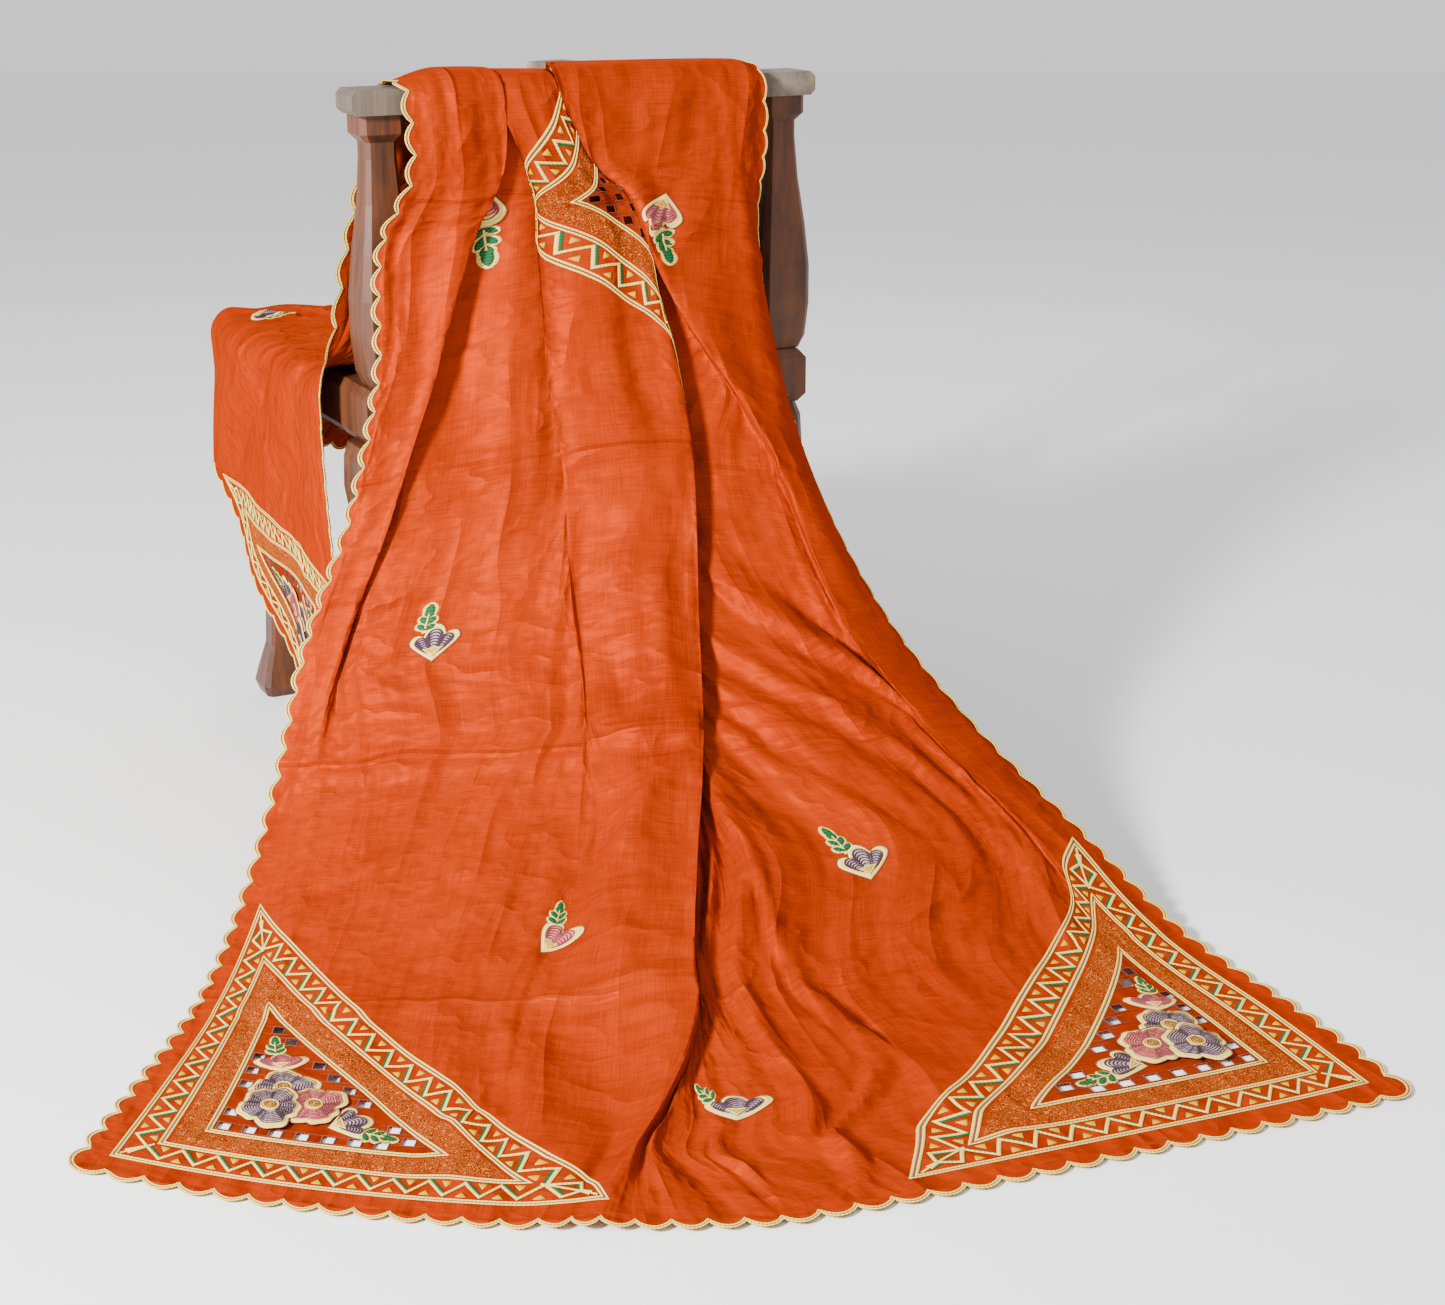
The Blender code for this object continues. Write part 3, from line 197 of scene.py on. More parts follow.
# Fold lines from the left long edge to the right one. Rows: station, u, place across (0 left
# edge, 1 middle, 2 right edge), millimetres in front of the plain drape.
FOLDS = (
    ("left edge", (
        (-14, 0.0, 0.0, 0), (0, 0.0, 0.0, 1), (5, 0.0, 0.0, 3), (15, 0.0, 0.0, 5), (28, 0.0, 0.0, 0))),
    ("left ridge", (
        (-14, 1.3, 0.067, 0), (-4, 1.8, 0.130, 8), (0, 1.9, 0.150, 13), (5, 1.2, 0.080, 6),
        (10, 0.9, 0.040, 7), (20, 0.4, 0.015, 5), (28, 0.3, 0.015, 0))),
    ("left flap edge", (
        (-14, 3.2, 0.164, 0), (-11, 3.3, 0.170, 0), (-8, 3.6, 0.200, 6), (-4, 4.0, 0.260, 8),
        (0, 4.2, 0.283, 10), (5, 3.3, 0.233, 10), (10, 2.4, 0.113, 10), (15, 1.7, 0.065, 9),
        (20, 1.2, 0.050, 5), (25, 1.2, 0.055, 1), (30, 1.2, 0.060, 0))),
    ("left flap far side", (
        (-14, 4.2, 0.215, 0), (-11, 4.3, 0.220, 0), (-8, 4.6, 0.218, 1), (-4, 5.1, 0.278, 1),
        (0, 5.4, 0.301, 2), (5, 4.5, 0.251, 1), (10, 3.7, 0.131, -1), (15, 2.9, 0.083, -1),
        (20, 2.3, 0.075, -1), (25, 2.3, 0.105, 0), (30, 2.3, 0.120, 0))),
    ("second flap near side", (
        (-14, 9.6, 0.492, 0), (-11, 9.7, 0.497, 0), (-8, 8.0, 0.503, 2), (-4, 6.8, 0.410, 1),
        (0, 6.0, 0.331, 2), (2, 6.4, 0.411, 2), (5, 6.8, 0.511, 1), (10, 7.6, 0.521, 0),
        (15, 8.6, 0.591, -1), (19, 10.0, 0.641, -1), (23, 10.9, 0.700, 1), (28, 10.9, 0.700, 0),
        (45, 10.9, 0.555, 0))),
    ("second flap edge", (
        (-14, 11.2, 0.574, 0), (-11, 11.2, 0.574, 0), (-8, 11.1, 0.521, 8), (-4, 11.3, 0.428, 9),
        (0, 11.6, 0.349, 9), (2, 11.6, 0.429, 11), (5, 11.6, 0.529, 12), (10, 11.6, 0.539, 11),
        (15, 11.7, 0.609, 10), (19, 12.0, 0.659, 9), (23, 12.2, 0.720, 7), (28, 12.2, 0.770, 0),
        (45, 12.2, 0.623, 0))),
    ("second flap face", (
        (-14, 13.4, 0.687, 0), (-11, 13.4, 0.690, 1), (-7, 13.3, 0.640, 4), (-4, 13.4, 0.560, 6),
        (0, 13.4, 0.500, 8), (2, 13.4, 0.580, 10), (5, 13.4, 0.720, 13), (10, 13.4, 0.740, 14),
        (15, 13.4, 0.810, 14), (19, 13.6, 0.830, 12), (25, 13.6, 0.870, 8), (30, 13.6, 0.885, 5),
        (36, 13.5, 0.860, 6), (45, 13.5, 0.690, 3))),
    ("middle pleat edge", (
        (-14, 15.0, 0.769, 0), (-11, 15.0, 0.790, 1), (-7, 15.0, 0.800, 4), (-4, 14.6, 0.690, 5),
        (0, 14.0, 0.555, 7), (2, 14.2, 0.640, 9), (5, 14.7, 0.850, 13), (6.8, 15.3, 0.935, 12),
        (8, 15.4, 0.945, 12), (10, 15.4, 0.953, 13), (15, 15.3, 1.003, 12), (20, 15.2, 0.982, 11),
        (25, 15.1, 0.992, 11), (30, 15.0, 0.982, 11), (35, 15.0, 0.992, 13), (40, 15.0, 0.860, 14),
        (42, 15.0, 0.800, 12), (45, 15.0, 0.750, 5))),
    ("middle pleat far side", (
        (-14, 16.4, 0.841, 0), (-11, 17.0, 0.900, 1), (-7, 17.0, 0.960, 2), (-4, 15.7, 0.780, 4),
        (0, 14.6, 0.580, 5), (2, 14.8, 0.670, 7), (5, 15.3, 0.880, 12), (6.8, 16.2, 0.945, 8),
        (8, 27.4, 0.963, -4), (10, 29.4, 0.971, -8), (15, 31.6, 1.021, -10), (20, 30.2, 1.000, -10),
        (25, 25.8, 1.010, -8), (30, 21.9, 1.002, -4), (35, 20.8, 1.014, 1), (40, 16.8, 0.885, 3),
        (42, 16.3, 0.828, 3), (45, 16.2, 0.810, 2))),
    ("right pleat near side", (
        (-14, 25.0, 1.282, 0), (-12, 25.0, 1.282, 0), (-10, 22.0, 1.240, 1), (-7, 19.5, 1.170, 2),
        (-4, 16.6, 0.840, 3), (0, 15.2, 0.592, 4), (2, 15.5, 0.690, 5), (5, 16.0, 0.900, 11),
        (6.8, 17.0, 0.952, 7), (8, 28.2, 1.000, -3), (10, 30.4, 1.130, -4), (15, 35.2, 1.533, -4),
        (20, 35.4, 1.652, -3), (25, 35.4, 1.775, -1), (30, 35.4, 1.840, 1), (35, 35.4, 1.820, 0),
        (45, 35.4, 1.820, 0))),
    ("right flap edge", (
        (-14, 27.2, 1.395, 0), (-12, 27.2, 1.395, 0), (-10, 28.0, 1.340, 6), (-7, 29.2, 1.190, 9),
        (-4, 30.5, 0.862, 12), (0, 31.3, 0.612, 13), (2, 32.2, 0.712, 16), (5, 34.0, 0.922, 20),
        (6.8, 34.9, 0.974, 20), (8, 35.3, 1.020, 18), (10, 36.0, 1.150, 13), (15, 37.1, 1.553, 8),
        (20, 37.4, 1.672, 7), (25, 37.2, 1.800, 6), (30, 36.9, 1.870, 5), (35, 36.8, 1.880, 1),
        (45, 36.8, 1.890, 0))),
    ("right flap shoulder", (
        (-14, 38.0, 1.949, 0), (-8, 38.0, 1.850, 5), (0, 38.1, 1.820, 9), (5, 38.2, 1.850, 8),
        (10, 38.2, 1.830, 8), (15, 38.4, 1.900, 6), (20, 38.5, 1.935, 5), (25, 38.5, 1.965, 4),
        (30, 38.4, 1.965, 4), (33, 38.3, 1.955, 3), (37, 38.2, 1.958, 0), (45, 38.2, 1.960, 0))),
    ("right edge", (
        (-14, 39.0, 2.0, 0), (-4, 39.0, 2.0, 4), (0, 39.0, 2.0, 5), (5, 39.0, 2.0, 4),
        (15, 39.0, 2.0, 2), (30, 39.0, 2.0, 0))),
)

# Pleat edges that hang over the cloth behind them. Rows: fold line, metres to the right, the
# station where the lip begins and the one where it is whole
LIPS = (
    ("left flap edge", 0.009, -9.0, -6.0),
    ("second flap edge", -0.011, -9.0, -6.0),
    ("middle pleat edge", 0.009, 8.5, 11.0),
    ("right flap edge", -0.012, -9.0, -6.0),
)
LIP_OF_HIDDEN = 0.40
LIP_DEPTH = 0.006

# A crease is a ridge with a shallower trough beside it, both in its own widths
CREASE_GAIN = 2.8
CREASE_TAPER = 0.6
RIDGE_SHARPNESS = 1.1
TROUGH_SHARE = 0.55
TROUGH_ASIDE = 1.2
TROUGH_WIDTH = 0.8
# Creases are calmer where the cloth is drawn over the rail: share, station, half width
RAIL_CALM = (0.8, -0.8, 2.2)
# Creases and soft ridges on the flat cloth. Rows: u and v of one end, u and v of the other, width
# in scallops, height in millimetres (a negative height is a trough).
CREASES = (
    # across, where the cloth was folded for storage
    (0.4, 9.6, 11.8, 10.0, 0.35, 1.3), (11.5, 10.1, 15.0, 10.6, 0.45, 3.2),
    (16.4, 10.2, 24.5, 10.4, 0.40, -1.8), (25.0, 10.5, 38.6, 10.6, 0.35, 1.0),
    (0.3, 19.8, 8.0, 19.9, 0.35, 1.4), (8.5, 19.7, 12.6, 20.2, 0.35, 1.2),
    (12.8, 20.4, 15.0, 20.6, 0.50, 4.5), (25.5, 20.4, 31.0, 20.9, 0.40, 2.4),
    (31.5, 20.8, 38.6, 21.0, 0.35, 1.1), (0.3, 29.6, 10.0, 29.9, 0.32, 1.0),
    (11.8, 30.3, 15.1, 30.1, 0.45, 3.0), (32.2, 30.6, 38.7, 30.9, 0.35, 1.3),
    (0.4, 39.6, 7.0, 39.9, 0.35, 1.2), (11.7, 40.1, 15.0, 40.0, 0.40, 2.0),
    (34.5, 39.4, 36.8, 39.0, 0.35, 2.6), (36.8, 39.0, 38.8, 38.6, 0.35, 1.4),
    (2.0, 34.8, 6.0, 35.1, 0.40, -1.0), (12.2, 35.6, 15.0, 35.2, 0.40, 1.6),
    # long folds down the left panel
    (2.6, 43.0, 2.2, 27.0, 0.80, 2.5), (5.0, 43.5, 4.6, 30.0, 0.60, -2.2), (5.8, 42.5, 6.3, 26.0, 0.90, 2.0),
    (3.4, 28.0, 5.6, 14.0, 1.10, 1.6), (8.6, 24.0, 10.4, 12.0, 1.00, -2.2), (1.6, 24.0, 3.0, 9.0, 1.00, 1.5),
    (7.0, 18.0, 9.5, 7.0, 1.30, 1.8),
    # long folds on the second flap, which end in soft knocks over the middle pleat
    (12.7, 43.0, 12.6, 28.0, 0.55, 2.0), (14.1, 42.0, 13.8, 30.0, 0.50, -1.8),
    (13.1, 29.0, 13.6, 20.6, 0.60, 3.0), (14.3, 29.5, 14.5, 21.0, 0.45, -2.0),
    (12.2, 27.0, 12.5, 20.5, 0.40, -2.0), (13.4, 20.2, 12.6, 11.0, 0.80, 3.6),
    (14.2, 20.0, 14.6, 12.0, 0.60, -2.6), (11.0, 19.6, 11.4, 11.5, 0.80, -2.6),
    (13.0, 14.0, 14.6, 7.0, 0.80, 3.0), (10.5, 10.5, 12.4, 3.0, 1.00, 3.0),
    (12.8, 9.0, 13.9, 1.5, 0.80, -3.0), (9.0, 9.0, 10.4, 1.5, 1.20, 2.2),
    (12.9, 24.0, 13.3, 20.8, 0.35, -3.2), (13.9, 27.0, 14.1, 21.5, 0.40, 2.6),
    (14.6, 20.0, 12.2, 15.0, 0.50, 3.0),
    # sharp ridges that run on from the middle pleat, and the shaded strip beside the right flap
    (24.9, 19.6, 25.4, 15.4, 0.24, 3.6), (25.4, 15.4, 26.2, 10.6, 0.24, 3.6),
    (26.2, 10.5, 26.7, 6.8, 0.24, 4.5), (26.7, 6.8, 22.3, 0.6, 0.26, 3.6),
    (27.0, 10.2, 27.4, 6.6, 0.24, -3.0), (27.4, 6.6, 23.0, 0.6, 0.26, -2.4),
    (20.8, 4.3, 20.2, 0.5, 0.20, 3.0), (24.5, 10.2, 30.0, 11.0, 0.24, 2.6),
    (31.2, 28.0, 35.4, 20.0, 0.30, 3.4), (32.4, 28.0, 36.4, 20.4, 0.50, -3.8),
    (28.5, 21.8, 33.8, 21.5, 0.22, 3.0), (12.6, 20.2, 15.0, 20.0, 0.20, 3.0),
    # folds that fan out from the middle pleat to the front hem
    (26.0, 20.2, 24.2, 11.0, 0.55, 4.0), (24.3, 11.4, 23.6, 1.2, 0.70, 3.6),
    (30.4, 25.5, 33.6, 17.0, 0.60, 4.0), (33.5, 17.6, 34.6, 10.0, 0.70, 3.0),
    (28.4, 23.5, 31.2, 14.0, 0.60, -3.0), (25.0, 18.5, 22.6, 12.0, 0.40, 2.4),
    (24.5, 20.0, 20.8, 9.0, 0.90, -2.6), (26.5, 21.0, 23.8, 7.0, 0.80, 2.8),
    (28.2, 21.0, 27.2, 6.0, 0.90, -2.6), (29.8, 22.0, 30.2, 7.0, 0.90, 2.6),
    (31.8, 24.0, 33.2, 9.0, 1.00, -2.2), (33.4, 27.0, 35.0, 13.0, 0.80, 2.2),
    (20.4, 9.5, 18.6, 0.8, 0.90, -1.4), (22.8, 9.5, 22.6, 1.0, 0.80, 1.2),
    (24.4, 9.0, 24.3, 0.7, 0.90, -2.6), (27.0, 8.0, 27.8, 1.0, 1.00, 2.4),
    (30.4, 8.0, 32.4, 2.0, 1.20, -1.8), (18.0, 7.0, 17.0, 0.8, 0.70, 2.6),
    # steps of the right flap, from its edge to the scalloped rim
    (36.5, 41.5, 37.9, 30.0, 0.45, -2.4), (37.2, 43.5, 37.6, 38.0, 0.40, 1.8),
    (35.6, 38.0, 37.6, 27.5, 0.35, 1.8), (33.6, 43.5, 35.6, 36.5, 0.70, 2.4),
    (34.6, 43.0, 36.4, 37.0, 0.45, -2.4), (38.2, 35.0, 38.5, 21.0, 0.30, -1.4),
    # small puckers
    (15.5, 13.5, 19.4, 12.6, 0.40, 1.6), (17.5, 15.2, 21.0, 13.8, 0.45, 1.4),
    (24.8, 13.5, 28.0, 14.8, 0.40, -1.2), (27.5, 11.5, 32.0, 13.5, 0.50, 1.2),
    (5.5, 12.5, 8.5, 14.2, 0.50, 1.0), (3.0, 16.4, 6.2, 17.4, 0.45, -0.9), (2.4, 25.8, 5.4, 26.6, 0.40, 0.9),
    (6.6, 31.8, 9.4, 32.6, 0.40, 0.9), (15.5, 3.0, 18.5, 4.2, 0.40, 1.2), (8.4, 4.4, 11.0, 5.8, 0.45, -1.1),
    (33.0, 17.5, 35.5, 18.8, 0.40, 0.9), (16.6, 18.3, 21.5, 17.0, 0.45, 1.2),
    # the hidden side behind the rail and over the seat
    (2.5, 47.0, 3.5, 57.0, 0.90, 2.4), (7.5, 46.5, 7.0, 58.0, 1.00, -2.2),
    (13.0, 47.0, 14.5, 60.0, 1.10, 2.6), (19.0, 48.0, 18.0, 61.0, 1.00, -2.4),
    (24.5, 48.5, 27.0, 62.0, 1.20, 2.6), (31.0, 48.0, 32.5, 60.0, 0.90, -2.2),
    (36.0, 49.0, 35.5, 63.0, 1.00, 2.2), (1.0, 60.0, 38.0, 60.4, 0.35, 1.2),
    (1.0, 70.0, 38.0, 69.6, 0.35, 1.2), (4.0, 62.0, 9.0, 76.0, 1.00, 2.4),
    (11.0, 63.0, 15.0, 78.0, 1.10, -2.4), (18.0, 62.0, 22.0, 78.0, 1.00, 2.4),
    (25.0, 64.0, 29.0, 78.0, 1.20, -2.0), (32.0, 62.0, 35.0, 77.0, 1.00, 2.0),
)


def cubic(x: Array, x0: Array, x1: Array, y0: Array, y1: Array, m0: Array, m1: Array) -> Array:
    """A cubic piece between two knots, by its values and slopes at both.

    Args:
        x: Where it is read.
        x0: The first knot.
        x1: The second knot.
        y0: The value at the first knot.
        y1: The value at the second knot.
        m0: The slope at the first knot.
        m1: The slope at the second knot.

    Returns:
        The values at x.
    """
    width = x1 - x0
    t = (x - x0) / width
    a = 2 * t**3 - 3 * t**2 + 1
    b = t**3 - 2 * t**2 + t
    return a * y0 + b * width * m0 + (1 - a) * y1 + (t**3 - t**2) * width * m1


def smooth_curve(knots: Sequence[float], values: Array, x: Array) -> Array:
    """A smooth curve through rows of values, with slopes from each knot's neighbours.

    Args:
        knots: Rising places of the rows.
        values: One row for each knot.
        x: Where the curve is read.

    Returns:
        One row for each place in x.
    """
    knots = np.asarray(knots, float)
    values = np.asarray(values, float)
    steps = np.diff(knots)[:, None]
    rises = np.diff(values, axis=0) / steps
    slopes = np.empty_like(values)
    slopes[0], slopes[-1] = rises[0], rises[-1]
    slopes[1:-1] = (rises[:-1] * steps[1:] + rises[1:] * steps[:-1]) / (steps[1:] + steps[:-1])
    x = np.clip(x, knots[0], knots[-1])
    i = np.clip(np.searchsorted(knots, x, side="right") - 1, 0, len(knots) - 2)
    x0, x1 = knots[i][:, None], knots[i + 1][:, None]
    return cubic(x[:, None], x0, x1, values[i], values[i + 1], slopes[i], slopes[i + 1])


def steady_curve(knots: Array, values: Array, x: Array) -> Array:
    """A curve through all values that never overshoots, with its own knots for each point.

    Args:
        knots: A row for each knot, a column for each point.
        values: The values at those knots.
        x: Where each point's curve is read.

    Returns:
        One value for each point.
    """
    rises = np.diff(values, axis=0) / np.diff(knots, axis=0)
    before, after = rises[:-1], rises[1:]
    same_way = before * after > 0
    safe = np.where(same_way, before + after, 1.0)
    slopes = np.empty_like(values)
    slopes[0], slopes[-1] = rises[0], rises[-1]
    slopes[1:-1] = np.where(same_way, 2 * before * after / safe, 0.0)
    i = np.clip((x[None, :] >= knots[1:-1]).sum(axis=0), 0, len(knots) - 2)
    n = np.arange(len(x))
    ends = [table[row, n] for table in (knots, values, slopes) for row in (i, i + 1)]
    return cubic(x, *ends)


def unit_rows(vectors: Array) -> Array:
    """Each row scaled to length one."""
    return vectors / np.maximum(np.linalg.norm(vectors, axis=-1), 1e-9)[..., None]


def rim_bulge(position: float) -> float:
    """How far the scalloped rim stands out from the cloth's straight edge, in scallops."""
    return RIM_HEIGHT * abs(math.sin(math.pi * position)) ** RIM_ROUNDNESS


def outline_point(u: float, v: float, inset: float = 0.0) -> Point:
    """The scalloped outline's point beyond a point of the straight edge.

    Args:
        u: The edge point's place across.
        v: The edge point's place along.
        inset: How far inside the outline, in scallops.

    Returns:
        The outline's point (u, v).
    """
    near_u = min(u, SCALLOPS_ACROSS - u)
    near_v = min(v, SCALLOPS_ALONG - v)
    if near_u <= 1 and near_v <= 1:
        centre = CORNER_LOBE_CENTRE
        radius = math.hypot(centre, 1 - centre) - inset
        away = math.hypot(near_u - centre, near_v - centre)
        near_u = centre + (near_u - centre) * radius / away
        near_v = centre + (near_v - centre) * radius / away
    elif near_u < near_v:
        near_u += inset - rim_bulge(v)
    else:
        near_v += inset - rim_bulge(u)
    u_out = near_u if u < SCALLOPS_ACROSS / 2 else SCALLOPS_ACROSS - near_u
    v_out = near_v if v < SCALLOPS_ALONG / 2 else SCALLOPS_ALONG - near_v
    return u_out, v_out


class Drape:
    """The cloth's form in space, worked out from its sections, folds and creases."""

    def __init__(self) -> None:
        """Reads the tables of sections and folds."""
        rows = [(row[0], [self.chair_point(*p) for p in row[1:]]) for row in FAR_SECTIONS]
        for station, out, up in self.rail_path():
            crossing = [self.chair_point(along, -out, RAIL_TOP + up) for along in RAIL_CROSSINGS]
            rows.append((station, crossing))
        rows += [(row[0], list(row[1:])) for row in FRONT_SECTIONS]
        rows.sort(key=lambda row: row[0])
        self.stations = np.array([row[0] for row in rows], float)
        self.sections = np.array([np.ravel(row[1]) for row in rows], float)
        self.steps = np.linspace(*STATION_RANGE, STATION_COUNT)
        self.folds = self.fold_table()
        left = self.plain(np.zeros_like(self.steps), self.steps)
        right = self.plain(np.full_like(self.steps, 2.0), self.steps)
        self.half_widths = np.linalg.norm(left - right, axis=1) / 2
        self.hang_lips()

    @staticmethod
    def chair_point(along: float, into: float, height: float) -> Array:
        """A point given along the rail, into the seat and in height."""
        ground = CORNER_LEFT + along * ALONG_RAIL + into * INTO_SEAT
        return np.array((ground[0], ground[1], height))

    @staticmethod
    def rail_path() -> list[Vector]:
        """The path over the rail: station, distance in front of its face, height over its top.

        Returns:
            Its points, from the front end to the back.
        """
        turn_length = RAIL_TURN_RADIUS * math.pi / 2 / SCALLOP
        top_length = (RAIL_DEPTH - 2 * RAIL_TURN_IN) / SCALLOP
        centre_up = RAIL_LIFT - RAIL_TURN_RADIUS
        front = []
        for k in range(RAIL_TURN_PARTS + 1):
            angle = math.pi / 2 * k / RAIL_TURN_PARTS
            station = turn_length * (0.5 - k / RAIL_TURN_PARTS)
            out = RAIL_TURN_RADIUS * math.cos(angle) - RAIL_TURN_IN
            front.append((station, out, centre_up + RAIL_TURN_RADIUS * math.sin(angle)))
        back_start = -turn_length - top_length
        back = [(back_start - station, -RAIL_DEPTH - out, up) for station, out, up in front[::-1]]
        end_station, end_out = RAIL_FRONT_END
        end_up = centre_up - (end_station - front[0][0]) * SCALLOP
        return [(end_station, end_out, end_up)] + front + back

    def fold_table(self) -> Array:
        """All folds at every small step of station: u, place across and metres out.

        Returns:
            An array by fold line, value and step.
        """
        table = []
        for _, rows in FOLDS:
            knots = np.array(rows, float)
            at = np.clip(self.steps, knots[0, 0], knots[-1, 0])
            columns = [np.repeat(knots[:, k:k + 1], len(at), axis=1) for k in range(4)]
            table.append([steady_curve(columns[0], column, at) for column in columns[1:]])
        return np.array(table)

    def hang_lips(self) -> None:
        """Moves the pleats' edges over the cloth behind them, as far as folded-away cloth allows."""
        names = [name for name, _ in FOLDS]
        for name, reach, begins, whole in LIPS:
            edge = names.index(name)
            behind = edge + 1 if reach > 0 else edge - 1
            gap = np.abs(self.folds[edge] - self.folds[behind])
            hidden = gap[0] * SCALLOP - gap[1] * self.half_widths
            depth = np.clip((self.folds[edge, 2] - self.folds[behind, 2]) / 1000 / LIP_DEPTH, 0, 1)
            lip = np.minimum(abs(reach), LIP_OF_HIDDEN * np.maximum(hidden, 0)) * depth
            lip = lip * np.clip((self.steps - begins) / (whole - begins), 0, 1)
            self.folds[edge, 1] += math.copysign(1, reach) * lip / self.half_widths

    def bend_over_seat(self, points: Array, station: Array) -> Array:
        """Points of the far side, with what passes the seat's edges hanging down.

        Args:
            points: Points on the level of the seat.
            station: Their stations.

        Returns:
            The points after the bend.
        """
        ground = points[:, :2] - CORNER_LEFT
        along = ground @ ALONG_RAIL
        into = ground @ INTO_SEAT
        past_left = np.maximum(0.0, -along)
        past_far = np.maximum(0.0, into + SEAT_BACK_SLANT * along - SEAT_DEPTH)
        past = np.hypot(past_left, past_far)
        angle = np.minimum(past / SEAT_EDGE_RADIUS, math.pi / 2)
        out = SEAT_EDGE_RADIUS * np.sin(angle)
        straight = np.maximum(0.0, past - SEAT_EDGE_RADIUS * math.pi / 2)
        share = out / np.maximum(past, 1e-9)
        along = along + past_left - past_left * share
        into = into - past_far + past_far * share
        bent = np.empty_like(points)
        bent[:, :2] = CORNER_LEFT + along[:, None] * ALONG_RAIL + into[:, None] * INTO_SEAT
        bent[:, 2] = points[:, 2] - SEAT_EDGE_RADIUS * (1 - np.cos(angle)) - straight
        return np.where(((station < FAR_SECTIONS[0][0]) & (past > 0))[:, None], bent, points)

    def plain(self, across: Array, station: Array) -> Array:
        """The drape without folds.

        Args:
            across: Places across: 0 left edge, 1 middle, 2 right edge.
            station: Stations.

        Returns:
            Points in metres.
        """
        values = smooth_curve(self.stations, self.sections, station)
        left, middle, right = values[:, 0:3], values[:, 3:6], values[:, 6:9]
        a = across[:, None]
        points = left * (a - 1) * (a - 2) / 2 - middle * a * (a - 2) + right * a * (a - 1) / 2
        bow = np.array(HEM_BOW)
        bows = smooth_curve(bow[:, 0], bow[:, 1:], np.clip(station, bow[0, 0], bow[-1, 0]))
        points[:, 1] += bows[:, 0] * np.sin(math.pi * np.clip(across, 0, 1))
        points[:, 1] += bows[:, 1] * np.sin(math.pi * np.clip(across - 1, 0, 1))
        return self.bend_over_seat(points, station)

    def outward(self, across: Array, station: Array) -> Array:
        """The plain drape's unit normals on its outer side, at places across and stations.

        Args:
            across: Places across.
            station: Stations.

        Returns:
            One normal for each.
        """
        over = self.plain(across + ACROSS_PROBE, station) - self.plain(across - ACROSS_PROBE, station)
        up = self.plain(across, station - STATION_PROBE) - self.plain(across, station + STATION_PROBE)
        return unit_rows(np.cross(over, up))

    @staticmethod
    def crease_height(u: Array, v: Array) -> Array:
        """How far creases and soft ridges lift the cloth at points of its pattern, in metres.

        Args:
            u: Places across, in scallops.
            v: Places along, in scallops.

        Returns:
            One height for each.
        """
        height = np.zeros_like(u)
        for u0, v0, u1, v1, width, millimetres in CREASES:
            du, dv = u1 - u0, v1 - v0
            length = math.hypot(du, dv)
            along = ((u - u0) * du + (v - v0) * dv) / length**2
            aside = ((u - u0) * dv - (v - v0) * du) / length / width
            taper = np.sin(math.pi * np.clip(along, 0, 1)) ** CREASE_TAPER
            ridge = np.exp(-np.abs(aside) ** RIDGE_SHARPNESS)
            trough = TROUGH_SHARE * np.exp(-(((aside - TROUGH_ASIDE) / TROUGH_WIDTH) ** 2))
            height += CREASE_GAIN * millimetres / 1000 * taper * (ridge - trough)
        return height

    def place(self, u: Array, v: Array) -> Array:
        """Where points of the flat cloth lie in the row's frame.

        Args:
            u: Places across, in scallops.
            v: Places along, in scallops.

        Returns:
            Points in metres.
        """
        inside_u = np.clip(u, 0, SCALLOPS_ACROSS)
        drop = FRONT_DROP_LEFT + FRONT_DROP_SKEW * inside_u / SCALLOPS_ACROSS
        past_rail = drop - v
        station = np.where(past_rail > 0, past_rail * FRONT_STATIONS / drop, past_rail)
        at_station = [[np.interp(station, self.steps, values) for values in fold] for fold in self.folds]
        knots = np.array(at_station)
        half_width = np.interp(station, self.steps, self.half_widths)
        across = steady_curve(knots[:, 0], knots[:, 1], inside_u) + (u - inside_u) * SCALLOP / half_width
        out = steady_curve(knots[:, 0], knots[:, 2], inside_u) / 1000
        waves = np.clip((DRAPE_WAVES_START - station) / (DRAPE_WAVES_START - DRAPE_WAVES_FULL), 0, 1)
        ripple = (1 - np.cos(2 * math.pi * DRAPE_WAVES * inside_u / SCALLOPS_ACROSS)) / 2
        calm, calm_station, calm_width = RAIL_CALM
        calm = calm * np.exp(-((station - calm_station) / calm_width) ** 2)
        out += DRAPE_WAVE_HEIGHT * waves * ripple + self.crease_height(inside_u, v) * (1 - calm)
        low, high = self.stations[0], self.stations[-1]
        held = np.clip(station, low, high)
        inward = np.where(station > high, held - END_PROBE, held + END_PROBE)
        edge = self.plain(across, held)
        onward = (edge - self.plain(across, inward)) / END_PROBE
        normal = self.outward(across, np.clip(station, low + END_MARGIN, high - END_MARGIN))
        points = edge + onward * np.abs(station - held)[:, None] + normal * out[:, None]
        points[:, 2] = np.maximum(points[:, 2], FLOOR_CLEARANCE)
        points[:, :2] -= np.array(MIDDLE_OF_FOOTPRINT)
        return points


# Materials


@dataclass(frozen=True)
class Finish:
    """A plain finish: its colours in linear light, its roughness, its sheen and its wood grain."""

    name: str
    colour: Colour
    # dark: for a thread, the painted shade between its stitches; for wood, the colour of its dark grain
    dark: Colour
    roughness: float
    sheen: float = 0.0
    worn: Colour = (0.0, 0.0, 0.0)
    grain: float = 0.0


